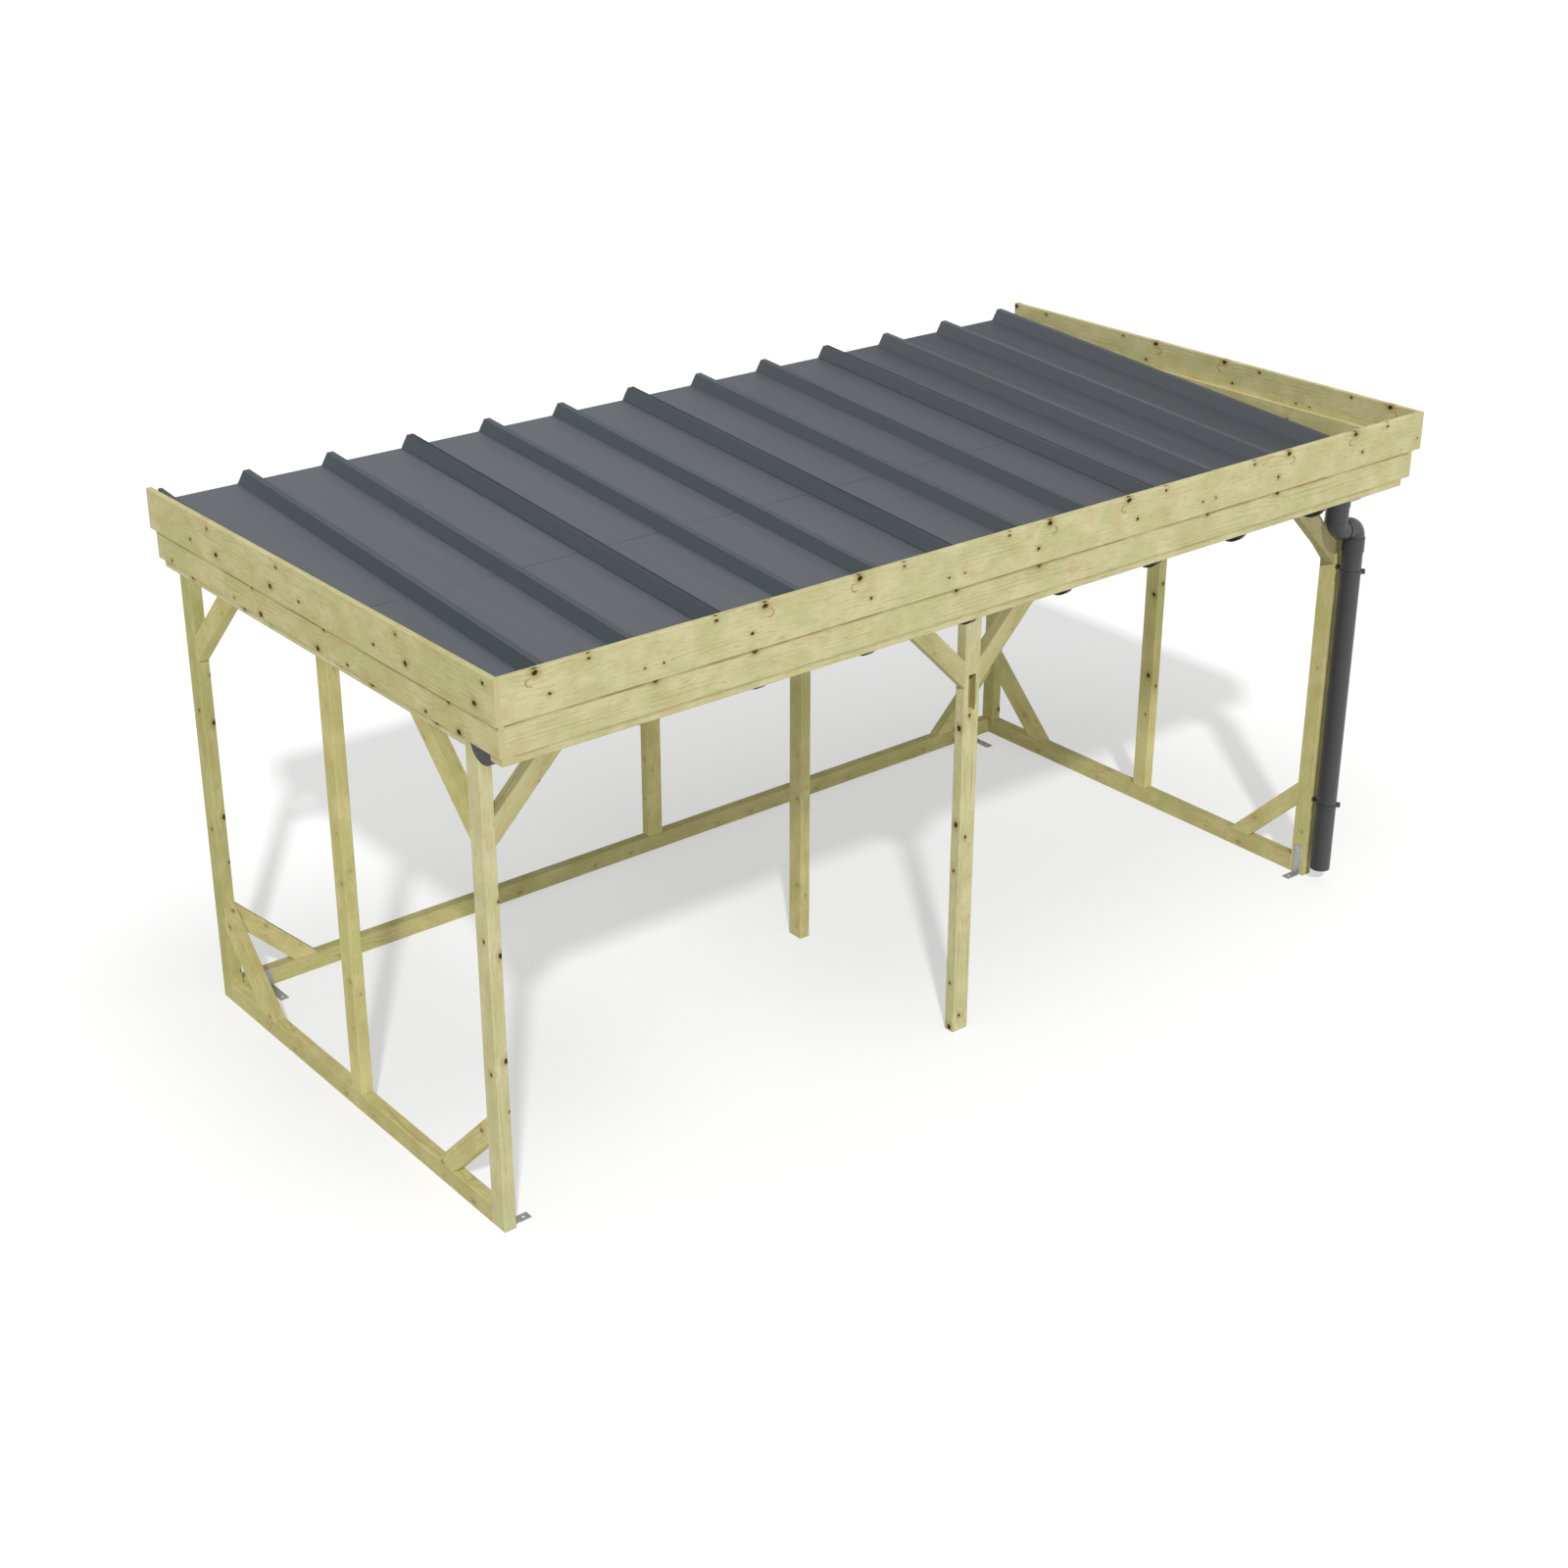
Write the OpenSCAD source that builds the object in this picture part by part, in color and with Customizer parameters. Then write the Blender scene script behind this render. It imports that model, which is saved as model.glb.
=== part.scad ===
// Lean-to firewood shelter: an open, knee-braced timber frame under a single-pitch ribbed steel roof.
// Millimetres, Z up. The origin is the middle of the outline on the floor, front towards -Y.
// Inside the modules, x runs from the left posts' outer face and y from the front posts' front face.

/* [Overall] */
// Length of the post frame, outer face to outer face
frame_length = 3975; // [3300:25:4800]
// Depth of the post frame, front face to back face
frame_depth = 1932; // [1600:1:2400]
// Height of the top edge of the upper fascia boards
total_height = 2024; // [1750:1:2450]

/* [Timber] */
// Narrow side of every frame timber
timber_thin = 45; // [36:1:60]
// Wide side of every frame timber
timber_wide = 70; // [60:1:90]
// Height of the three purlins at their upper edge
purlin_height = 95; // [70:1:110]
// Thickness of the fascia boards
board_thickness = 20; // [15:1:28]
// Height of the fascia boards
board_height = 145; // [120:1:180]
// How far the upper boards reach down over the lower boards
upper_board_lap = 34; // [20:1:60]
// How far the lower boards reach down over the rails
rail_lap = 33; // [20:1:60]
// From the front posts' face to the front rail's outer face
front_overhang = 203; // [180:1:320]
// How far the roof and the side boards pass the back posts
back_overhang = 6; // [0:1:40]
// Front of the middle post row, from the front posts' face to its own front face
mid_row_y = 896; // [700:1:1100]

/* [Braces] */
// Leg of the lower braces along post and sole plate, to the far edge
lower_brace_reach = 335; // [200:1:450]
// Leg of the front braces along post and purlin, to the far edge
front_brace_reach = 349; // [200:1:450]
// Leg of the side braces along post and rail, to the far edge
side_brace_reach = 421; // [250:1:500]
// Height of the slot in the front middle post
slot_height = 137; // [60:1:200]
// Width of that slot
slot_width = 33; // [15:1:45]
// Depth of that slot
slot_depth = 28; // [10:1:32]
// Height of the slot's lower edge above the floor
slot_bottom = 1280; // [600:1:1320]

/* [Roof sheets] */
// Roof pitch in degrees, falling to the front
roof_pitch = 4.5; // [3:0.25:5.5]
// How far the sheets lie below the upper boards' top edge, over the front posts' face
roof_drop = 207.524; // [198:0.001:240]
// Sheet thickness as modelled
sheet_thickness = 2; // [1:0.1:3]
// Distance between rib centres
rib_pitch = 331.7; // [250:0.1:350]
// Height of a rib
rib_height = 45; // [25:1:50]
// Width of a rib along its flat top
rib_top = 24; // [15:1:35]
// Width of a rib at its foot
rib_base = 72; // [50:1:90]
// Ribs in the cover width of one sheet
ribs_per_sheet = 3; // [3]
// Width left of the first rib's flat top beside the left boards
first_rib_flat = 14.5; // [10:0.5:15]
// How far the sheets reach over the gutter, from the front posts' face
sheet_reach = 80; // [40:1:110]
// Gap left between two sheets where their ribs lap
lap_gap = 0.3; // [0.1:0.1:1]
// Gap between the sheets' side edges and the lower boards
edge_gap = 2; // [1:0.5:6]

/* [Gutter] */
// Outer radius of the half-round gutter
gutter_radius = 66; // [50:1:68]
// Wall of the gutter
gutter_wall = 3; // [2:0.5:4]
// Radius of the bead along the gutter's front rim
gutter_bead = 6; // [4:0.5:8]
// How far the gutter's left end lies below the lower boards' lower edge
gutter_drop = 16; // [8:1:40]
// Fall of the gutter towards the downpipe, in mm per metre
gutter_fall = 5; // [0:0.5:8]
// How far the gutter ends are let into the side rails
gutter_let_in = 25; // [10:1:30]
// Width of a gutter bracket
bracket_width = 55; // [30:1:60]
// Thickness of a gutter bracket
bracket_wall = 5; // [3:0.5:8]
// Width of the stiffening rib under a gutter bracket
bracket_rib_width = 22; // [12:1:28]
// How far that rib stands out under the bracket
bracket_rib_depth = 11; // [6:1:18]
// Distance between gutter brackets
bracket_spacing = 447; // [300:1:700]
// First bracket's centre from the left posts' outer face
bracket_start = 72; // [60:1:200]

/* [Downpipe] */
// Outer radius of the downpipe
pipe_radius = 40; // [30:1:42]
// Wall of the pipe, the elbows and the outlet
pipe_wall = 2.5; // [2:0.5:3]
// Radius that the elbows turn on, at their centre line
elbow_radius = 47; // [44:1:50]
// Distance between the outlet and the downpipe, centre to centre
swan_offset = 118; // [116:1:160]
// Downpipe's centre from the outer face of the right posts
pipe_inset = 26; // [10:1:40]
// Height of the centre line between the two elbows
swan_height = 1550; // [1400:1:1580]
// Length of the sockets at the elbows and the pipe
socket_length = 58; // [45:1:70]
// Height of the downpipe's lower end
pipe_bottom = 61; // [10:1:120]
// Height of the upper pipe clip
upper_clip_z = 1362; // [900:1:1380]
// Height of the lower pipe clip
lower_clip_z = 350; // [200:1:600]
// Height of a pipe clip's band
clip_height = 14; // [10:1:24]

/* [Ground anchors] */
// Long leg of the anchor angles
anchor_long = 130; // [90:1:160]
// Short leg of the anchor angles
anchor_short = 70; // [60:1:70]
// Width of the anchor angles
anchor_width = 34; // [25:1:60]
// Thickness of the anchor angles
anchor_thickness = 4; // [3:0.5:6]
// Radius of the ground bolt holes
anchor_hole = 5.5; // [4:0.5:7]
// Ground bolt hole's centre from the end of the foot
anchor_hole_edge = 22; // [15:1:30]
// Back anchors' centres from the outer faces of the end posts
back_anchor_inset = 160; // [120:1:400]

/* [Hidden] */
$fn = 96;
// Small allowance by which a cut passes through a face
cut = 1;
// Radial room between a pipe end and its socket, and between gutter and bracket
slip = 0.2;

// Heights that follow from the fascia boards
upper_board_z = total_height - board_height;
lower_board_z = upper_board_z + upper_board_lap - board_height;
rail_top_z = lower_board_z + rail_lap;
rail_z = rail_top_z - timber_wide;

// Plan positions that follow from the frame
back_edge_y = frame_depth + back_overhang;
rail_front_y = -front_overhang;
lower_front_y = rail_front_y - board_thickness;
upper_front_y = lower_front_y - board_thickness;
right_post_x = frame_length - timber_thin;
mid_post_x = frame_length / 2 - timber_wide / 2;
centre_post_x = frame_length / 2 - timber_thin / 2;
corner_back_y = frame_depth - timber_wide;
back_row_y = frame_depth - timber_thin;

// The frame's own zero, seen from the middle of the outline
origin_shift_y = (upper_front_y + back_edge_y) / 2;

// Roof planes: the flat of the sheets, seen from above and from below
function pan_top(y) = total_height - roof_drop + tan(roof_pitch) * y;
function pan_under(y) = pan_top(y) - sheet_thickness / cos(roof_pitch);

// Underside of a purlin whose upper edge stands at y
function purlin_under(y) = pan_under(y) - purlin_height;
front_purlin_z = purlin_under(timber_thin);
mid_purlin_z = purlin_under(mid_row_y + timber_thin);
back_purlin_z = purlin_under(frame_depth);

// Rib outline: the corners move sideways by this share of an offset
rib_angle = atan(rib_height / ((rib_base - rib_top) / 2));
corner_share = tan(rib_angle / 2);
sheet_left_x = -timber_thin + edge_gap;
first_rib_x = sheet_left_x + first_rib_flat - rib_top / 2;
sheet_right_x = frame_length + timber_thin - edge_gap;
last_rib = floor((sheet_right_x - first_rib_x - rib_base / 2) / rib_pitch);
last_sheet = 3;
sheet_length = (back_edge_y + sheet_reach) / cos(roof_pitch);
// Height above the flat at which a lapping sheet's edge ends, and an underlying sheet's
lap_lip = 4;
under_lip = 14;
end_lip = 16;

// Gutter line
gutter_left_x = -gutter_let_in;
gutter_y = -(gutter_radius + slip);
gutter_z = lower_board_z - gutter_drop;
gutter_length = frame_length + 2 * gutter_let_in;
gutter_tilt = atan(gutter_fall / 1000);
gutter_lip = 8;
notch_clear = 8;
bracket_outer = gutter_radius + slip + bracket_wall;
bracket_room = 5;
saddle_length = 150;
saddle_wall = 3;

// Downpipe line
pipe_x = frame_length - pipe_inset;
outlet_x = pipe_x - swan_offset;
socket_inner = pipe_radius + slip;
socket_extra = 0.5;
socket_outer = socket_inner + pipe_wall + socket_extra;
elbow_top_z = swan_height + elbow_radius;
elbow_foot_z = swan_height - elbow_radius;
elbow_out_x = outlet_x + elbow_radius;
elbow_in_x = pipe_x - elbow_radius;
spigot = 38;
// Ring at the foot of a socket, and the room left before it
socket_ring = 4;
ring_gap = 0.5;
stub_gap = 1;
neck = 5;
outlet_floor_z = gutter_z - (outlet_x - gutter_left_x) * gutter_fall / 1000 - gutter_radius;
collar_radius = 46;
collar_drop = 12;
clip_wall = 3.5;
clip_lug = 15;
clip_lug_thick = 9;
clip_lug_height = 20;
clip_stem = 6;
clip_rosette = 12;
clip_rosette_thick = 4;

// Moves the frame's own zero to the model's origin
module in_frame() {
    translate([-frame_length / 2, -origin_shift_y, 0])
        children();
}

// Draws the mirror image about the middle of the frame's length
module on_right() {
    translate([frame_length, 0, 0])
        mirror([1, 0, 0])
            children();
}

// A straight timber or board between two corners
module bar(low, high) {
    translate(low)
        cube(high - low);
}

// An outline in y and z, drawn out along x
module along_x(points, x, length) {
    translate([x, 0, 0])
        rotate([90, 0, 90])
            linear_extrude(length)
                polygon(points);
}

// An outline in x and z, drawn out along y
module along_y(points, y, length) {
    translate([0, y + length, 0])
        rotate([90, 0, 0])
            linear_extrude(length)
                polygon(points);
}

// Outline of a 45 degree brace between an upright face and a level seat.
// side is 1 or -1 along the seat, up is 1 above the seat or -1 below it.
function knee(face, seat, reach, side, up) = [
    [face, seat + up * reach],
    [face, seat + up * (reach - timber_wide * sqrt(2))],
    [face + side * (reach - timber_wide * sqrt(2)), seat],
    [face + side * reach, seat]
];

// Side outline of a post whose head is cut away at the front, where a purlin rests on it
function notched_front(y, foot, notch) = [
    [y, foot],
    [y + timber_wide, foot],
    [y + timber_wide, pan_under(y + timber_wide)],
    [y + timber_thin, pan_under(y + timber_thin)],
    [y + timber_thin, notch],
    [y, notch]
];

// Side outline of a post whose head is cut away at the back, where a purlin rests on it
function notched_back(y, foot, notch) = [
    [y, foot],
    [y + timber_wide, foot],
    [y + timber_wide, notch],
    [y + timber_wide - timber_thin, notch],
    [y + timber_wide - timber_thin, pan_under(y + timber_wide - timber_thin)],
    [y, pan_under(y)]
];

module post_front_left() {
    color("#c9c08c")
        along_x(notched_front(0, 0, front_purlin_z), 0, timber_thin);
}

module post_front_right() {
    on_right()
        post_front_left();
}

// Stands flat to the front, with a blind slot under its braces
module post_front_middle() {
    color("#c9c08c")
        difference() {
            bar([mid_post_x, 0, 0], [mid_post_x + timber_wide, timber_thin, front_purlin_z]);
            translate([frame_length / 2 - slot_width / 2, -cut, slot_bottom])
                cube([slot_width, slot_depth + cut, slot_height]);
        }
}

module post_middle_left() {
    color("#c9c08c")
        along_x(notched_front(mid_row_y, timber_wide, mid_purlin_z), 0, timber_thin);
}

module post_middle_right() {
    on_right()
        post_middle_left();
}

module post_centre() {
    color("#c9c08c")
        along_x(notched_front(mid_row_y, 0, mid_purlin_z), centre_post_x, timber_thin);
}

module post_back_left() {
    color("#c9c08c")
        along_x(notched_back(corner_back_y, 0, back_purlin_z), 0, timber_thin);
}

module post_back_right() {
    on_right()
        post_back_left();
}

module post_back_middle() {
    color("#c9c08c")
        bar([mid_post_x, back_row_y, timber_wide], [mid_post_x + timber_wide, frame_depth, back_purlin_z]);
}

module sole_plate_left() {
    color("#bdb47f")
        bar([0, timber_wide, 0], [timber_thin, corner_back_y, timber_wide]);
}

module sole_plate_right() {
    on_right()
        sole_plate_left();
}

module sole_plate_back() {
    color("#bdb47f")
        bar([timber_thin, back_row_y, 0], [right_post_x, frame_depth, timber_wide]);
}

module lower_braces_left() {
    color("#c4bb86") {
        along_x(knee(timber_wide, timber_wide, lower_brace_reach, 1, 1), 0, timber_thin);
        along_x(knee(corner_back_y, timber_wide, lower_brace_reach, -1, 1), 0, timber_thin);
    }
}

module lower_braces_right() {
    on_right()
        lower_braces_left();
}

module lower_braces_back() {
    color("#c4bb86") {
        along_y(knee(timber_thin, timber_wide, lower_brace_reach, 1, 1), back_row_y, timber_thin);
        along_y(knee(right_post_x, timber_wide, lower_brace_reach, -1, 1), back_row_y, timber_thin);
    }
}

module upper_braces_front() {
    color("#c4bb86") {
        along_y(knee(timber_thin, front_purlin_z, front_brace_reach, 1, -1), 0, timber_thin);
        along_y(knee(mid_post_x, front_purlin_z, front_brace_reach, -1, -1), 0, timber_thin);
        along_y(knee(mid_post_x + timber_wide, front_purlin_z, front_brace_reach, 1, -1), 0, timber_thin);
        along_y(knee(right_post_x, front_purlin_z, front_brace_reach, -1, -1), 0, timber_thin);
    }
}

module upper_braces_left() {
    color("#c4bb86") {
        along_x(knee(timber_wide, rail_top_z, side_brace_reach, 1, -1), 0, timber_thin);
        along_x(knee(corner_back_y, rail_top_z, side_brace_reach, -1, -1), 0, timber_thin);
    }
}

module upper_braces_right() {
    on_right()
        upper_braces_left();
}

// A purlin whose upper face follows the fall of the roof
module purlin(y, under) {
    color("#b8af7a")
        along_x([
            [y, under],
            [y + timber_thin, under],
            [y + timber_thin, pan_under(y + timber_thin)],
            [y, pan_under(y)]
        ], 0, frame_length);
}

module purlin_front() {
    purlin(0, front_purlin_z);
}

module purlin_middle() {
    purlin(mid_row_y, mid_purlin_z);
}

module purlin_back() {
    purlin(back_row_y, back_purlin_z);
}

// Side rail, notched from below for the gutter's end
module rail_left() {
    housing_low = [-timber_thin - cut, gutter_y - gutter_radius - notch_clear, rail_z - cut];
    housing_high = [cut, 0, gutter_z + gutter_lip + notch_clear];
    color("#c0b782")
        difference() {
            bar([-timber_thin, rail_front_y, rail_z], [0, back_edge_y, rail_top_z]);
            bar(housing_low, housing_high);
        }
}

module rail_right() {
    on_right()
        rail_left();
}

module rail_front() {
    color("#c0b782")
        bar([0, rail_front_y, rail_z], [frame_length, rail_front_y + timber_thin, rail_top_z]);
}

module lower_fascia_left() {
    color("#cfc692")
        bar([-timber_thin - board_thickness, lower_front_y, lower_board_z],
            [-timber_thin, back_edge_y, lower_board_z + board_height]);
}

module lower_fascia_right() {
    on_right()
        lower_fascia_left();
}

module lower_fascia_front() {
    color("#cfc692")
        bar([-timber_thin, lower_front_y, lower_board_z],
            [frame_length + timber_thin, rail_front_y, lower_board_z + board_height]);
}

module upper_fascia_left() {
    color("#d2c996")
        bar([-timber_thin - 2 * board_thickness, upper_front_y, upper_board_z],
            [-timber_thin - board_thickness, back_edge_y, total_height]);
}

module upper_fascia_right() {
    on_right()
        upper_fascia_left();
}

module upper_fascia_front() {
    color("#d2c996")
        bar([-timber_thin - board_thickness, upper_front_y, upper_board_z],
            [frame_length + timber_thin + board_thickness, lower_front_y, total_height]);
}

// Corners of a rib's left flank and right flank, at an offset outward from the sheet's upper face
function rib_left(x, out) = [
    [x - rib_base / 2 - out * corner_share, out],
    [x - rib_top / 2 - out * corner_share, rib_height + out]
];

function rib_right(x, out) = [
    [x + rib_top / 2 + out * corner_share, rib_height + out],
    [x + rib_base / 2 + out * corner_share, out]
];

// A point part of the way down a flank, at height z above the flat
function flank_x(out, z) = rib_top / 2 + out * corner_share + (rib_height + out - z) / tan(rib_angle);

// Where rib number i stands
function rib_x(i) = first_rib_x + i * rib_pitch;

// One outline for upper or lower face: the whole ribs between two rib numbers
function rib_run(from, to, out) = [
    for (i = [from:1:to])
        for (p = concat(rib_left(rib_x(i), out), rib_right(rib_x(i), out)))
            p
];

function flipped(points) = [for (i = [len(points) - 1:-1:0]) points[i]];

// Left edge of the first sheet: half a rib that ends in a short lip beside the fascia
function first_edge(out) =
    let (left = sheet_left_x + (out < 0 ? sheet_thickness : 0))
    [
        [left, rib_height - end_lip],
        [left, rib_height + out]
    ];

// Left edge of a later sheet: its first rib laps over the last rib of the sheet before
function lap_edge(i, out) = [
    [rib_x(i) - flank_x(out, lap_lip), lap_lip],
    [rib_x(i) - rib_top / 2 - out * corner_share, rib_height + out]
];

// Right side of that lapping rib, back down to the flat
function lap_foot(i, out, flat) = [
    [rib_x(i) + rib_top / 2 + out * corner_share, rib_height + out],
    [rib_x(i) + flank_x(out, flat), flat]
];

// Right edge of every sheet but the last: its last rib ends part of the way down
function under_edge(i, out) = concat(
    rib_left(rib_x(i), out),
    [
        [rib_x(i) + rib_top / 2 + out * corner_share, rib_height + out],
        [rib_x(i) + flank_x(out, under_lip), under_lip]
    ]
);

// Upper or lower outline of sheet number k, where face is 0 for the upper face and 1 for the lower
function sheet_line(k, face) =
    let (
        out = -face * sheet_thickness,
        over = sheet_thickness + lap_gap + out,
        first = k * ribs_per_sheet,
        last = k == last_sheet ? last_rib : first + ribs_per_sheet
    )
    concat(
        k == 0
            ? concat(first_edge(out), rib_right(first_rib_x, out))
            : concat(lap_edge(first, over), lap_foot(first, over, out)),
        k == last_sheet ? rib_run(first + 1, last, out) : rib_run(first + 1, last - 1, out),
        k == last_sheet ? [[sheet_right_x, out]] : under_edge(last, out)
    );

// One ribbed sheet, laid down the fall from the back edge
module roof_sheet(k) {
    color("#5f666c")
        translate([0, back_edge_y, pan_top(back_edge_y)])
            rotate([roof_pitch, 0, 0])
                rotate([90, 0, 0])
                    linear_extrude(sheet_length)
                        polygon(concat(sheet_line(k, 0), flipped(sheet_line(k, 1))));
}

// Places children on the gutter's axis, with x along the gutter from its left end
module on_gutter() {
    translate([gutter_left_x, gutter_y, gutter_z])
        rotate([0, gutter_tilt, 0])
            children();
}

// An outline across the gutter, drawn out along it
module across_gutter(start, length) {
    translate([start, 0, 0])
        rotate([90, 0, 90])
            linear_extrude(length)
                children();
}

// Lower half of a disc
module half_disc(radius) {
    intersection() {
        circle(radius);
        translate([-radius - cut, -radius - cut])
            square([2 * (radius + cut), radius + cut]);
    }
}

// The round bead on the gutter's front rim
module bead(radius) {
    translate([-gutter_radius + gutter_wall / 2, 0])
        circle(radius);
}

// The room that whatever hooks under the bead leaves for it
module bead_room() {
    bead(gutter_bead + slip);
}

module gutter() {
    color("#4a4d50")
        difference() {
            on_gutter() {
                across_gutter(0, gutter_length) {
                    difference() {
                        half_disc(gutter_radius);
                        circle(gutter_radius - gutter_wall);
                    }
                    translate([gutter_radius - gutter_wall, -cut])
                        square([gutter_wall, gutter_lip + cut]);
                    bead(gutter_bead);
                }
                across_gutter(0, gutter_wall)
                    half_disc(gutter_radius - gutter_wall / 2);
                across_gutter(gutter_length - gutter_wall, gutter_wall)
                    half_disc(gutter_radius - gutter_wall / 2);
            }
            translate([outlet_x, gutter_y, outlet_floor_z - gutter_wall])
                cylinder(h = 3 * gutter_wall + gutter_bead, r = pipe_radius - pipe_wall);
        }
}

// Whatever lies behind the front posts' face, seen across the gutter
module behind_face(radius) {
    translate([-gutter_y, -radius])
        square(2 * radius);
}

// A half-round strap under the gutter, flattened where it is screwed to the front purlin's face
module strap(outer) {
    difference() {
        half_disc(outer);
        circle(gutter_radius + slip);
        bead_room();
        behind_face(outer);
    }
}

// One bracket: a wide strap with a deeper rib under its middle
module gutter_bracket(x) {
    on_gutter() {
        across_gutter(x - gutter_left_x - bracket_width / 2, bracket_width)
            strap(bracket_outer);
        across_gutter(x - gutter_left_x - bracket_rib_width / 2, bracket_rib_width)
            strap(bracket_outer + bracket_rib_depth);
    }
}

// The brackets stand evenly along the gutter, and none where the outlet is
module gutter_brackets() {
    last = floor((frame_length - 2 * bracket_start) / bracket_spacing);
    outlet_room = (saddle_length + bracket_width) / 2 + bracket_room;
    color("#3f4245")
        for (i = [0:1:last])
            if (abs(bracket_start + i * bracket_spacing - outlet_x) > outlet_room)
                gutter_bracket(bracket_start + i * bracket_spacing);
}

// Running outlet: a saddle under the gutter with the stub that the upper elbow takes
module gutter_outlet() {
    stub_z = elbow_top_z + socket_ring + stub_gap;
    color("#46494c")
        difference() {
            union() {
                on_gutter()
                    across_gutter(outlet_x - gutter_left_x - saddle_length / 2, saddle_length)
                        difference() {
                            half_disc(gutter_radius + slip + saddle_wall);
                            behind_face(gutter_radius + slip + saddle_wall);
                        }
                translate([outlet_x, gutter_y, outlet_floor_z - collar_drop])
                    cylinder(h = gutter_radius / 2, r = collar_radius);
                translate([outlet_x, gutter_y, stub_z])
                    cylinder(h = outlet_floor_z - elbow_top_z, r = pipe_radius);
            }
            on_gutter()
                across_gutter(outlet_x - gutter_left_x - saddle_length, 2 * saddle_length) {
                    circle(gutter_radius + slip);
                    bead_room();
                }
            translate([outlet_x, gutter_y, elbow_top_z])
                cylinder(h = outlet_floor_z - elbow_top_z + gutter_radius, r = pipe_radius - pipe_wall);
        }
}

// A straight piece of round pipe standing on its lower end
module tube(outer, wall, height) {
    difference() {
        cylinder(h = height, r = outer);
        translate([0, 0, -cut])
            cylinder(h = height + 2 * cut, r = outer - wall);
    }
}

// A quarter turn of pipe in the upright plane through x, starting at start degrees about its own centre
module quarter_bend(start) {
    rotate([90, 0, 0])
        rotate([0, 0, start])
            rotate_extrude(angle = 90)
                translate([elbow_radius, 0])
                    difference() {
                        circle(pipe_radius);
                        circle(pipe_radius - pipe_wall);
                    }
}

// The ring at the foot of a socket, which joins it to the pipe below
module socket_foot(height) {
    tube(socket_outer, socket_outer - pipe_radius + pipe_wall, height);
}

// Socket on top, bend towards the corner post, spigot at the end
module elbow_upper() {
    socket_top_z = outlet_floor_z - collar_drop - stub_gap;
    color("#4d5053") {
        translate([outlet_x, gutter_y, elbow_top_z])
            tube(socket_outer, socket_outer - socket_inner, socket_top_z - elbow_top_z);
        translate([outlet_x, gutter_y, elbow_top_z])
            socket_foot(socket_ring);
        translate([elbow_out_x, gutter_y, elbow_top_z])
            quarter_bend(180);
        translate([elbow_out_x, gutter_y, swan_height])
            rotate([0, 90, 0])
                tube(pipe_radius, pipe_wall, elbow_in_x - elbow_out_x - socket_ring - ring_gap);
    }
}

// Socket over the upper elbow's end, bend down, spigot into the downpipe
module elbow_lower() {
    color("#4d5053") {
        translate([elbow_out_x + socket_ring, gutter_y, swan_height])
            rotate([0, 90, 0])
                tube(socket_outer, socket_outer - socket_inner, elbow_in_x - elbow_out_x - socket_ring);
        translate([elbow_in_x - socket_ring, gutter_y, swan_height])
            rotate([0, 90, 0])
                socket_foot(socket_ring);
        translate([elbow_in_x, gutter_y, elbow_foot_z])
            quarter_bend(0);
        translate([pipe_x, gutter_y, elbow_foot_z - spigot])
            tube(pipe_radius, pipe_wall, spigot);
    }
}

// Plain pipe with a socket at its upper end
module downpipe() {
    socket_z = elbow_foot_z - socket_length;
    color("#46494c")
        translate([pipe_x, gutter_y, 0]) {
            translate([0, 0, pipe_bottom])
                tube(pipe_radius, pipe_wall, socket_z - pipe_bottom);
            translate([0, 0, socket_z])
                socket_foot(neck);
            translate([0, 0, socket_z + neck])
                tube(socket_outer, socket_outer - socket_inner, socket_length - neck);
        }
}

// A band round the pipe, with its screw lug and the stem that holds it to the corner post
module downpipe_clip(z) {
    translate([pipe_x, gutter_y, z])
        difference() {
            union() {
                translate([0, 0, -clip_height / 2])
                    cylinder(h = clip_height, r = socket_inner + clip_wall);
                rotate([0, 0, -45])
                    translate([socket_inner, -clip_lug_thick / 2, -clip_lug_height / 2])
                        cube([clip_lug, clip_lug_thick, clip_lug_height]);
                rotate([-90, 0, 0])
                    cylinder(h = -gutter_y, r = clip_stem);
                translate([0, -gutter_y - clip_rosette_thick, 0])
                    rotate([-90, 0, 0])
                        cylinder(h = clip_rosette_thick, r = clip_rosette);
            }
            translate([0, 0, -clip_lug_height])
                cylinder(h = 2 * clip_lug_height, r = socket_inner);
        }
}

module downpipe_clips() {
    color("#3c3f42") {
        downpipe_clip(upper_clip_z);
        downpipe_clip(lower_clip_z);
    }
}

// An angle with its back against a face at x = 0 and its foot on the floor towards +x
module anchor(upright, foot) {
    difference() {
        union() {
            translate([0, -anchor_width / 2, 0])
                cube([anchor_thickness, anchor_width, upright]);
            translate([0, -anchor_width / 2, 0])
                cube([foot, anchor_width, anchor_thickness]);
        }
        translate([foot - anchor_hole_edge, 0, -cut])
            cylinder(h = anchor_thickness + 2 * cut, r = anchor_hole);
    }
}

// Front anchors stand inside the front corner posts
module front_anchor() {
    translate([timber_thin, timber_wide / 2, 0])
        anchor(anchor_long, anchor_short);
}

// Back anchors stand inside the back sole plate
module back_anchor() {
    translate([back_anchor_inset, back_row_y, 0])
        rotate([0, 0, -90])
            anchor(anchor_short, anchor_long);
}

module ground_anchors() {
    color("#8b8f92") {
        front_anchor();
        back_anchor();
        on_right() {
            front_anchor();
            back_anchor();
        }
    }
}

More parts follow.
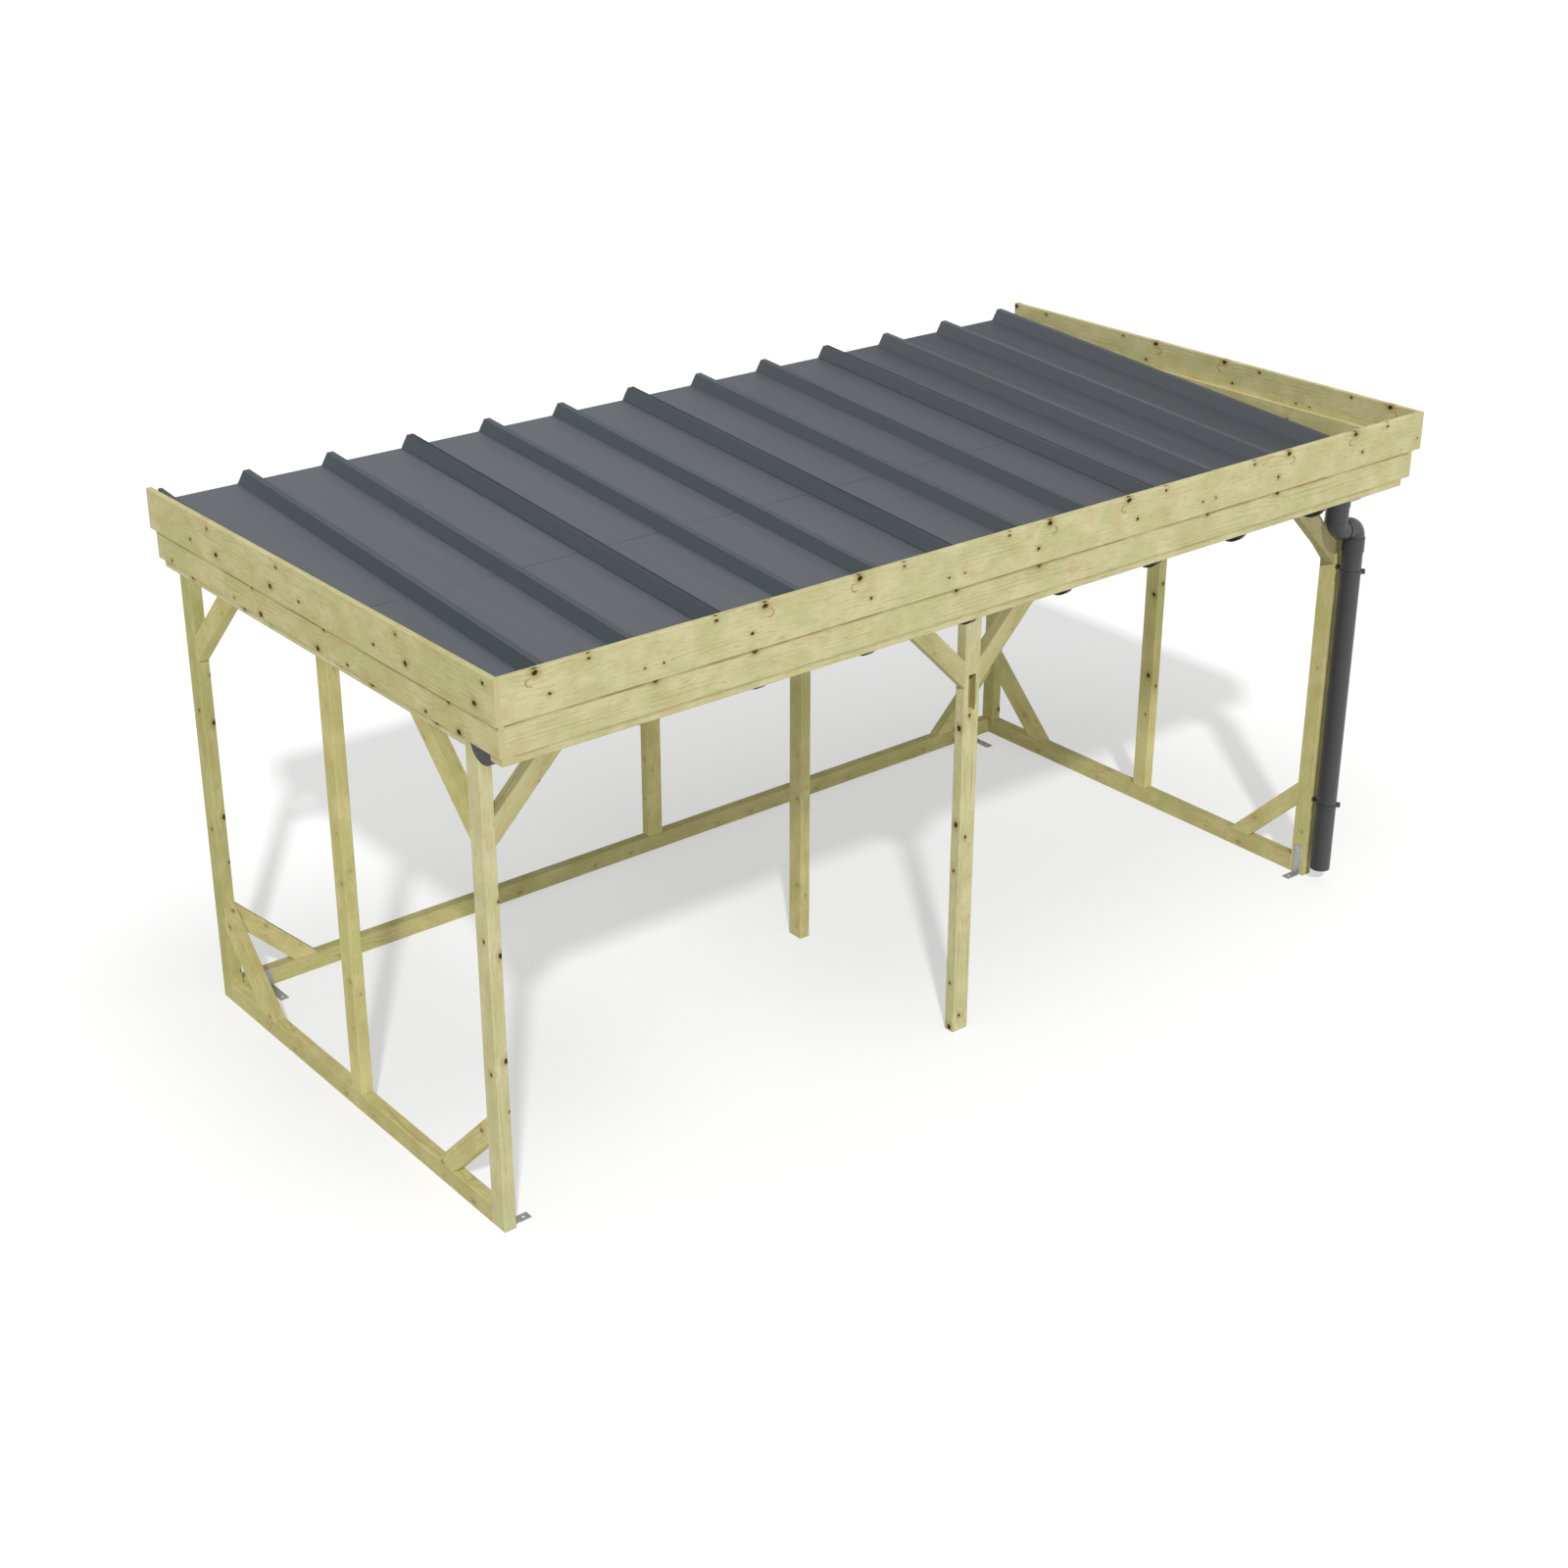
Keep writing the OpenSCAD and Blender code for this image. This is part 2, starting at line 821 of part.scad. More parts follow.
in_frame() post_front_left();
in_frame() post_front_middle();
in_frame() post_front_right();
in_frame() post_middle_left();
in_frame() post_centre();
in_frame() post_middle_right();
in_frame() post_back_left();
in_frame() post_back_middle();
in_frame() post_back_right();
in_frame() sole_plate_left();
in_frame() sole_plate_right();
in_frame() sole_plate_back();
in_frame() lower_braces_left();
in_frame() lower_braces_right();
in_frame() lower_braces_back();
in_frame() upper_braces_front();
in_frame() upper_braces_left();
in_frame() upper_braces_right();
in_frame() purlin_front();
in_frame() purlin_middle();
in_frame() purlin_back();
in_frame() rail_left();
in_frame() rail_right();
in_frame() rail_front();
in_frame() lower_fascia_left();
in_frame() lower_fascia_right();
in_frame() lower_fascia_front();
in_frame() upper_fascia_left();
in_frame() upper_fascia_right();
in_frame() upper_fascia_front();
in_frame() roof_sheet(0);  // roof_sheet_1
in_frame() roof_sheet(1);  // roof_sheet_2
in_frame() roof_sheet(2);  // roof_sheet_3
in_frame() roof_sheet(3);  // roof_sheet_4
in_frame() gutter();
in_frame() gutter_brackets();
in_frame() gutter_outlet();
in_frame() elbow_upper();
in_frame() elbow_lower();
in_frame() downpipe();
in_frame() downpipe_clips();
in_frame() ground_anchors();
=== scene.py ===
"""Looks of a lean-to firewood shelter.

An open frame of treated pine stands on sole plates and carries four ribbed steel
roof sheets behind a double band of fascia boards. A grey plastic gutter hides
behind the front board and drains through a swan neck into a downpipe.
"""

import logging
import math
from dataclasses import dataclass, field
from enum import Enum
from typing import Sequence

import bpy
from mathutils import Euler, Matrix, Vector


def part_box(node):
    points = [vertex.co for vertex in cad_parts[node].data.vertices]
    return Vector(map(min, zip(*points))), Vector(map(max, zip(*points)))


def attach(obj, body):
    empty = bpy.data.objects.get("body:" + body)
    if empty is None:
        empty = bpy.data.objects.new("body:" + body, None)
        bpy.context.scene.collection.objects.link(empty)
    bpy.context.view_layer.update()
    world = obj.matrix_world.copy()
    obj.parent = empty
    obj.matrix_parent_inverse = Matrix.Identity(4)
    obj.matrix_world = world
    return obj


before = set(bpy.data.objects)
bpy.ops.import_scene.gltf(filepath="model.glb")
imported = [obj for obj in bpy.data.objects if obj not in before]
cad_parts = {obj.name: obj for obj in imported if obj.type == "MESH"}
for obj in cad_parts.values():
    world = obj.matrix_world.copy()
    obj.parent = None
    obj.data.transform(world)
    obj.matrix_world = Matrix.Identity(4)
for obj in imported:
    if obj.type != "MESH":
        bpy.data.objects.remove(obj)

LOG = logging.getLogger("shelter")
BODY = "root"
WHITE = (1.0, 1.0, 1.0, 1.0)
JOIN_WITHIN = 0.00002
SHARP_ANGLE = math.radians(35)

Colour = tuple[float, float, float]
Socket = bpy.types.NodeSocket
Input = float | Socket


def linear(red: int, green: int, blue: int) -> Colour:
    """Turn a colour written as 0 to 255 screen values into linear values.

    Args:
        red: Screen value of red.
        green: Screen value of green.
        blue: Screen value of blue.

    Returns:
        The three linear values.
    """
    def one(value: int) -> float:
        """Linear value of one screen value."""
        part = value / 255
        return part / 12.92 if part <= 0.04045 else ((part + 0.055) / 1.055) ** 2.4

    return one(red), one(green), one(blue)


class Axis(Enum):
    """A direction of the frame, by its place in a vector."""

    X = 0
    Y = 1
    Z = 2


class Nodes:
    """Short words for wiring up the nodes of one tree."""

    def __init__(self, tree: bpy.types.NodeTree) -> None:
        """Start with an empty tree."""
        self.tree = tree
        self.tree.nodes.clear()

    def node(self, kind: str, inputs: dict[str | int, object] | None = None,
             **settings: object) -> bpy.types.Node:
        """Add one node.

        Args:
            kind: Type name of the node.
            inputs: Values or sockets for its inputs, by name or place.
            **settings: Properties of the node.

        Returns:
            The new node.
        """
        node = self.tree.nodes.new(kind)
        for key, value in settings.items():
            setattr(node, key, value)
        for key, value in (inputs or {}).items():
            self.feed(node.inputs[key], value)
        return node

    def feed(self, socket: Socket, value: object) -> None:
        """Link a socket or set a value.

        Args:
            socket: The input to feed.
            value: Another socket, or a plain value.
        """
        if isinstance(value, bpy.types.NodeSocket):
            self.tree.links.new(value, socket)
        elif isinstance(value, tuple) and len(value) == 3 and socket.type == "RGBA":
            socket.default_value = (*value, 1.0)
        else:
            socket.default_value = value

    def maths(self, operation: str, *values: Input, clamp: bool = False) -> Socket:
        """Result of one maths node.

        Args:
            operation: Name of the operation.
            *values: One to three numbers or sockets.
            clamp: Keep the result between 0 and 1.

        Returns:
            The result.
        """
        return self.node("ShaderNodeMath", dict(enumerate(values)),
                         operation=operation, use_clamp=clamp).outputs[0]

    def times(self, first: Input, second: Input) -> Socket:
        """Product of two numbers or sockets."""
        return self.maths("MULTIPLY", first, second)

    def plus(self, first: Input, second: Input) -> Socket:
        """Sum of two numbers or sockets."""
        return self.maths("ADD", first, second)

    def minus(self, first: Input, second: Input) -> Socket:
        """The first less the second."""
        return self.maths("SUBTRACT", first, second)

    def most(self, first: Input, second: Input) -> Socket:
        """The larger of two numbers or sockets."""
        return self.maths("MAXIMUM", first, second)

    def off(self, value: Input, centre: Input) -> Socket:
        """How far a value is from its centre."""
        return self.maths("ABSOLUTE", self.minus(value, centre))

    def looked_at(self) -> Socket:
        """1 for what the camera, a reflection or clear glass looks at, else 0."""
        path = self.node("ShaderNodeLightPath").outputs
        return self.most(path["Is Camera Ray"],
                         self.most(path["Is Glossy Ray"], path["Is Transmission Ray"]))


class Wiring(Nodes):
    """The nodes of one material."""

    def __init__(self, name: str) -> None:
        """Start an empty material that ends in one principled shader.

        Args:
            name: Name of the material.
        """
        self.material = bpy.data.materials.new(name)
        self.material.use_nodes = True
        super().__init__(self.material.node_tree)
        self.shader = self.node("ShaderNodeBsdfPrincipled")
        self.output = self.node("ShaderNodeOutputMaterial",
                                {"Surface": self.shader.outputs["BSDF"]})

    def vector(self, x: Input, y: Input, z: Input) -> Socket:
        """A vector of three numbers or sockets."""
        return self.node("ShaderNodeCombineXYZ", {0: x, 1: y, 2: z}).outputs[0]

    def stretch(self, vector: Socket, scale: Sequence[float],
                shift: Sequence[float] = (0, 0, 0)) -> Socket:
        """Scale and move a vector.

        Args:
            vector: The vector.
            scale: Factor along each axis.
            shift: What is added after scaling.

        Returns:
            The new vector.
        """
        return self.node("ShaderNodeVectorMath",
                         {0: vector, 1: tuple(scale), 2: tuple(shift)},
                         operation="MULTIPLY_ADD").outputs[0]

    def noise(self, vector: Socket, scale: float = 1.0, detail: float = 3.0,
              roughness: float = 0.5, distortion: float = 0.0) -> Socket:
        """Soft noise between 0 and 1.

        Args:
            vector: Where to read it.
            scale: Number of waves per metre.
            detail: Octaves of finer noise.
            roughness: Weight of the finer noise.
            distortion: How far it is stirred.

        Returns:
            The noise value.
        """
        return self.node("ShaderNodeTexNoise",
                         {"Vector": vector, "Scale": scale, "Detail": detail,
                          "Roughness": roughness, "Distortion": distortion}).outputs[0]

    def ease(self, value: Input, low: float, high: float,
             to_low: float = 0.0, to_high: float = 1.0) -> Socket:
        """A smooth step from one value to another.

        Args:
            value: What is read.
            low: Where the step starts.
            high: Where it ends.
            to_low: Result at the start.
            to_high: Result at the end.

        Returns:
            The stepped value.
        """
        return self.node("ShaderNodeMapRange",
                         {0: value, 1: low, 2: high, 3: to_low, 4: to_high},
                         interpolation_type="SMOOTHSTEP").outputs[0]

    def blend(self, factor: Input, first: Colour | Socket, second: Colour | Socket,
              mode: str = "MIX") -> Socket:
        """Mix two colours.

        Args:
            factor: Share of the second colour.
            first: Colour at 0.
            second: Colour at 1.
            mode: Blend mode.

        Returns:
            The mixed colour.
        """
        node = self.node("ShaderNodeMix", data_type="RGBA", blend_type=mode)
        self.feed(node.inputs["Factor"], factor)
        self.feed(node.inputs[6], first)
        self.feed(node.inputs[7], second)
        return node.outputs[2]

    def spot(self) -> Socket:
        """Place on the object, in metres."""
        return self.node("ShaderNodeTexCoord").outputs["Object"]

    def facing(self) -> Socket:
        """Direction in which the surface faces."""
        return self.node("ShaderNodeNewGeometry").outputs["True Normal"]

    def measure(self, operation: str, *vectors: object) -> Socket:
        """A number read from one or two vectors.

        Args:
            operation: Name of the operation.
            *vectors: Sockets or plain vectors.

        Returns:
            The number.
        """
        return self.node("ShaderNodeVectorMath", dict(enumerate(vectors)),
                         operation=operation).outputs["Value"]

    def split(self, vector: Socket) -> tuple[Socket, Socket, Socket]:
        """The three parts of a vector."""
        node = self.node("ShaderNodeSeparateXYZ", {0: vector})
        return node.outputs[0], node.outputs[1], node.outputs[2]

    def bump(self, height: Socket, depth: float, strength: float = 1.0) -> None:
        """Roughen the surface.

        Args:
            height: Height pattern, 0 to 1.
            depth: How high a 1 stands, in metres.
            strength: How much of it shows.
        """
        node = self.node("ShaderNodeBump", {"Height": height, "Distance": depth,
                                            "Strength": strength})
        self.feed(self.shader.inputs["Normal"], node.outputs[0])

    def set(self, **inputs: object) -> None:
        """Set inputs of the shader; underscores stand for spaces.

        Args:
            **inputs: Values or sockets by input name.
        """
        for name, value in inputs.items():
            self.feed(self.shader.inputs[name.replace("_", " ")], value)


# ---------------------------------------------------------------- timber

class Run(Enum):
    """Which way the grain of a timber runs."""

    SIDEWAYS = "along X"
    INWARDS = "along Y"
    UPRIGHT = "along Z"
    LOW_BRACE_SIDEWAYS = "leans towards its post as it rises, in an XZ plane"
    LOW_BRACE_INWARDS = "leans towards its post as it rises, in a YZ plane"
    HIGH_BRACE_SIDEWAYS = "leans away from its post as it rises, in an XZ plane"
    HIGH_BRACE_INWARDS = "leans away from its post as it rises, in a YZ plane"

    @property
    def wide_axis(self) -> Axis:
        """Axis that the wide faces look along."""
        sideways = (Run.SIDEWAYS, Run.LOW_BRACE_SIDEWAYS, Run.HIGH_BRACE_SIDEWAYS)
        return Axis.Y if self in sideways else Axis.X

    @property
    def is_low_brace(self) -> bool:
        """Whether this is a brace at the foot of a post."""
        return self in (Run.LOW_BRACE_SIDEWAYS, Run.LOW_BRACE_INWARDS)

    @property
    def is_brace(self) -> bool:
        """Whether this is a brace at either end of a post."""
        high = (Run.HIGH_BRACE_SIDEWAYS, Run.HIGH_BRACE_INWARDS)
        return self.is_low_brace or self in high


@dataclass(frozen=True)
class Knot:
    """One knot of the figure that repeats along a timber."""

    along: float
    across: float
    radius: float


@dataclass(frozen=True)
class PineFigure:
    """The knots and growth lines that sawn pine shows."""

    half_length: float = 0.6012
    mirrored: bool = True
    knots: tuple[Knot, ...] = (
        Knot(0.187, 0.000, 0.0105),
        Knot(0.236, 0.077, 0.0062),
        Knot(0.372, 0.003, 0.0056),
    )


@dataclass(frozen=True)
class Slot:
    """A blind slot cut into the front of a post, with painted shade inside."""

    middle: float
    front: float
    bottom: float
    width: float = 0.033
    depth: float = 0.028
    height: float = 0.137
    set_in: float = 0.0015
    slack: float = 0.0008
    # painted shade inside the slot
    dark: Colour = linear(166, 153, 98)

    def mask(self, w: Wiring, place: Sequence[Socket]) -> Socket:
        """Where the surface lies inside the slot.

        Args:
            w: The material being wired.
            place: Place on the object.

        Returns:
            1 inside the slot and 0 elsewhere.
        """
        x, y, z = place
        sizes = ((x, self.middle, self.width / 2),
                 (z, self.bottom + self.height / 2, self.height / 2),
                 (y, self.front + self.set_in + self.depth / 2, self.depth / 2))
        inside: Input = 1.0
        for value, centre, half in sizes:
            off = w.off(value, centre)
            inside = w.times(inside, w.maths("LESS_THAN", off, half + self.slack))
        return inside


@dataclass(frozen=True)
class PineFinish:
    """Pressure-treated sawn pine, pale straw with a green cast."""

    name: str
    run: Run
    mirror_at: float = 0.0
    base: float = 0.0
    edge_base: float = 0.0
    flipped: bool = False
    posts_at: tuple[float, ...] = ()
    seed: float = 0.0
    figure: PineFigure = field(default_factory=PineFigure)
    extra_knots: tuple[Knot, ...] = ()
    swirls: tuple[Knot, ...] = ()
    lap_at: float | None = None
    lap_reach: float = 0.0125
    lap_strength: float = 0.80
    lap_face: float = 0.0
    # painted shade: multiplies the colour of pieces that stand in shade
    shade_tint: Colour = (1.0, 1.0, 1.0)
    knottiness: float = 1.0
    # painted shade: top faces by slope, and darker towards the right
    top_shade: float = 1.0
    shade_right: float = 1.0
    slot: Slot | None = None
    line_strength: float = 0.42
    fleck_strength: float = 0.34
    halo_strength: float = 0.5
    curl_strength: float = 0.8
    squash: float = 0.8
    curl_opens: tuple[float, float, float] = (0.97, -0.24, 0.0)
    ring_gap: float = 0.0155
    end_ring_gap: float = 0.0045
    straw: Colour = linear(214, 207, 162)
    tan: Colour = linear(200, 186, 138)
    green: Colour = linear(199, 198, 146)
    streak: Colour = linear(160, 140, 84)
    knot_core: Colour = linear(58, 40, 16)
    knot_ring: Colour = linear(152, 130, 76)
    # painted shade: colour of the line under the edge of a lapping board
    board_lap_shade: Colour = linear(128, 116, 70)
    sawn: Colour = linear(206, 196, 148)
    sawn_ring: Colour = linear(176, 160, 108)

    def material(self) -> bpy.types.Material:
        """Build the material.

        Returns:
            The finished material.
        """
        w = Wiring(f"pine_{self.name}")
        place = w.split(w.spot())
        facing = w.split(w.facing())
        along, across = self._lengthwise(w, place)
        thickness = place[self.run.wide_axis.value]
        on_wide = w.maths("GREATER_THAN",
                          w.maths("ABSOLUTE", facing[self.run.wide_axis.value]), 0.7)
        core, halo, eyes, curls = self._knots(w, along, across, thickness, on_wide)
        grain = w.vector(along, across, thickness)
        lines, fibres, patches, flecks = self._growth(w, grain, eyes)
        colour = w.blend(w.ease(patches, 0.36, 0.62), self.green, self.straw)
        warmth = w.noise(w.stretch(grain, (9, 13, 13), (self.seed * 2.7, 9.1, 0)),
                         detail=4, roughness=0.6)
        colour = w.blend(w.ease(warmth, 0.42, 0.70, 0, 0.7), colour, self.tan)
        colour = w.blend(w.times(lines, self.line_strength), colour, self.streak)
        colour = w.blend(w.times(flecks, self.fleck_strength), colour, self.streak)
        colour = self._shaded(w, colour, fibres, facing, place)
        soft = w.most(w.times(halo, self.halo_strength), w.times(curls, self.curl_strength))
        colour = w.blend(w.times(soft, self.knottiness), colour, self.knot_ring)
        colour = w.blend(w.times(core, self.knottiness), colour, self.knot_core)
        # painted shade: a dark line under the edge of the board above
        if self.lap_at is not None:
            colour = self._lapped(w, colour, grain, thickness, place[Axis.Z.value])
        # painted shade inside the slot of the middle post
        if self.slot is not None:
            colour = w.blend(self.slot.mask(w, place), colour, self.slot.dark)
        if not self.run.is_brace:
            colour = self._end_grain(w, colour, facing, across, thickness)
        roughness = w.plus(0.66, w.times(fibres, 0.2))
        relief = w.minus(w.plus(fibres, w.times(lines, 0.5)),
                         core)
        w.bump(relief, 0.0007, 0.6)
        w.set(Base_Color=colour, Roughness=roughness)
        w.shader.inputs["Specular IOR Level"].default_value = 0.06
        return w.material

    def _shaded(self, w: Wiring, colour: Socket, fibres: Socket,
                facing: Sequence[Socket], place: Sequence[Socket]) -> Socket:
        """Deepen the colour by its fibres, and paint shade into it by the piece, by slope and
        towards the right.

        Args:
            w: The material being wired.
            colour: Colour so far.
            fibres: Fine fibre pattern.
            facing: Parts of the facing direction.
            place: Place on the object.

        Returns:
            The shaded colour.
        """
        shade = w.times(w.plus(0.84, w.times(fibres, 0.28)),
                        w.ease(facing[Axis.Z.value], 0.2, 0.65, 1, self.top_shade))
        if self.shade_right < 1:
            shade = w.times(shade, w.ease(place[Axis.X.value], 0.5, 1.6, 1, self.shade_right))
        depth = w.vector(*(w.times(shade, part) for part in self.shade_tint))
        return w.blend(1.0, colour, depth, "MULTIPLY")

    def _lapped(self, w: Wiring, colour: Socket, grain: Socket, thickness: Socket,
                height: Socket) -> Socket:
        """Paint a line of shade under the edge of the board that laps over this one.

        Args:
            w: The material being wired.
            colour: Colour so far.
            grain: Place as along, across and thickness.
            thickness: Metres across the edge.
            height: Height on the object.

        Returns:
            The colour with its line.
        """
        under = w.minus(self.lap_at, height)
        line = w.times(w.maths("LESS_THAN", w.off(thickness, self.lap_face), 0.004),
                       w.ease(under, self.lap_reach, self.lap_reach + 0.008, 1, 0))
        uneven = w.noise(w.stretch(grain, (4.5, 0, 0), (self.seed, 0, 0)), detail=3)
        strength = w.ease(uneven, 0.36, 0.62, self.lap_strength * 0.4, self.lap_strength)
        return w.blend(w.times(line, strength), colour, self.board_lap_shade)

    def _lengthwise(self, w: Wiring, place: Sequence[Socket]) -> tuple[Socket, Socket]:
        """Coordinates along and across the timber's wide face.

        Args:
            w: The material being wired.
            place: Place on the object.

        Returns:
            Metres along the grain and across it.
        """
        x, y, z = place
        if not self.run.is_brace:
            return {Run.SIDEWAYS: (x, z), Run.INWARDS: (y, z), Run.UPRIGHT: (z, y)}[self.run]
        level = x if self.run.wide_axis is Axis.Y else y
        gap: Socket | None = None
        for post in self.posts_at:
            away = w.off(level, post)
            gap = away if gap is None else w.maths("MINIMUM", gap, away)
        total = w.times(w.plus(z, gap), math.sqrt(0.5))
        difference = w.times(w.minus(z, gap), math.sqrt(0.5))
        return (difference, total) if self.run.is_low_brace else (total, difference)

    def _knots(self, w: Wiring, along: Socket, across: Socket, thickness: Socket,
               on_wide: Socket) -> tuple[Socket, Socket, Socket, Input]:
        """Dark cores and soft surrounds of the knots.

        Args:
            w: The material being wired.
            along: Metres along the grain.
            across: Metres across the wide face.
            thickness: Metres across the edge.
            on_wide: 1 on the wide faces.

        Returns:
            How much core shows, how much surround, how far the growth
            lines bend round the knots, and how much of the curls shows.
        """
        start = w.minus(along, self.mirror_at)
        step = (w.maths("PINGPONG", start, self.figure.half_length) if self.figure.mirrored
                else w.maths("WRAP", start, 2 * self.figure.half_length, 0))
        sign = -1.0 if self.flipped else 1.0
        wide = w.times(w.minus(across, self.base), sign)
        edge = w.minus(thickness, self.edge_base)
        height = w.node("ShaderNodeMix", {"Factor": on_wide}, data_type="FLOAT")
        w.feed(height.inputs[2], edge)
        w.feed(height.inputs[3], wide)
        ragged = w.noise(w.vector(along, across, thickness), scale=95, detail=3)
        wobble = w.times(w.minus(ragged, 0.5), 0.011)
        here = w.vector(w.times(step, self.squash), height.outputs[0], 0)
        curls = self._curls(w, here, wobble)
        core: Socket | None = None
        halo: Socket | None = None
        eyes: Socket | None = None
        for knot in self.figure.knots + self.extra_knots:
            away = w.measure("DISTANCE", here, (knot.along * self.squash, knot.across, 0))
            rough = w.plus(away, wobble)
            one = w.ease(rough, knot.radius * 0.45, knot.radius * 1.1, 1, 0)
            soft = w.ease(rough, knot.radius * 0.7, knot.radius * 2.8, 1, 0)
            bend = w.ease(away, 0, knot.radius * 7.5, 1, 0)
            core = one if core is None else w.most(core, one)
            halo = soft if halo is None else w.most(halo, soft)
            eyes = bend if eyes is None else w.plus(eyes, bend)
        return core, halo, eyes, curls

    def _curls(self, w: Wiring, here: Socket, wobble: Socket) -> Input:
        """Open curls of grain.

        Args:
            w: The material being wired.
            here: Place in the figure.
            wobble: Raggedness of the outlines, in metres.

        Returns:
            1 on a curl and 0 elsewhere.
        """
        curls: Input = 0.0
        for swirl in self.swirls:
            centre = (swirl.along * self.squash, swirl.across, 0)
            away = w.measure("DISTANCE", here, centre)
            off = w.off(w.plus(away, wobble), swirl.radius)
            side = w.node("ShaderNodeVectorMath", {0: here, 1: centre},
                          operation="SUBTRACT").outputs[0]
            turn = w.measure("DOT_PRODUCT", side, self.curl_opens)
            arc = w.ease(turn, -0.1 * swirl.radius, 0.5 * swirl.radius, 1, 0)
            line = w.ease(off, 0.001, 0.0042, 0.9, 0)
            curls = w.most(curls, w.times(arc, line))
        return curls

    def _growth(self, w: Wiring, grain: Socket, eyes: Socket
                ) -> tuple[Socket, Socket, Socket, Socket]:
        """Growth lines, fine fibres, large soft patches and short flecks.

        Args:
            w: The material being wired.
            grain: Place as along, across and thickness.
            eyes: How far the lines bend round the knots.

        Returns:
            The four patterns, each 0 to 1.
        """
        drift = (self.seed * 3.3, self.seed * 1.7, self.seed * 0.9)
        sway = w.noise(w.stretch(grain, (0.9, 4, 4), drift), detail=2)
        _, across, thickness = w.split(grain)
        rings = w.plus(across, w.times(thickness, 0.55))
        rings = w.plus(rings, w.times(sway, 0.09))
        rings = w.plus(rings, w.times(eyes, 0.010))
        wave = w.maths("SINE", w.times(rings, 2 * math.pi / self.ring_gap))
        uneven = w.noise(w.stretch(grain, (2.2, 16, 16), drift), detail=2)
        bent = w.ease(eyes, 0.04, 0.6, 0, 0.55)
        shown = w.most(w.ease(uneven, 0.47, 0.72), bent)
        lines = w.times(w.ease(wave, 0.45, 1.0), shown)
        fibres = w.noise(w.stretch(grain, (9, 170, 170), drift), detail=4, roughness=0.65)
        patches = w.noise(w.stretch(grain, (6.5, 7, 7), drift), detail=4, distortion=0.4)
        flecks = w.noise(w.stretch(grain, (24, 240, 240), drift), detail=2)
        return lines, fibres, patches, w.ease(flecks, 0.56, 0.70)

    def _end_grain(self, w: Wiring, colour: Socket, facing: Sequence[Socket],
                   across: Socket, thickness: Socket) -> Socket:
        """Rings on the sawn ends.

        Args:
            w: The material being wired.
            colour: Colour of the long faces.
            facing: Parts of the facing direction.
            across: Metres across the wide face.
            thickness: Metres across the edge.

        Returns:
            The colour with the ends worked in.
        """
        end_axis = {Run.SIDEWAYS: Axis.X, Run.INWARDS: Axis.Y, Run.UPRIGHT: Axis.Z}[self.run]
        on_end = w.maths("GREATER_THAN", w.maths("ABSOLUTE", facing[end_axis.value]), 0.8)
        heart = w.vector(w.plus(w.minus(across, self.base), 0.045),
                         w.plus(w.minus(thickness, self.edge_base), 0.02), 0)
        turns = w.times(w.measure("LENGTH", heart), 2 * math.pi / self.end_ring_gap)
        rings = w.ease(w.maths("SINE", turns), -0.4, 1)
        sawn = w.blend(w.times(rings, 0.4), self.sawn, self.sawn_ring)
        return w.blend(on_end, colour, sawn)


# ---------------------------------------------------------------- other finishes

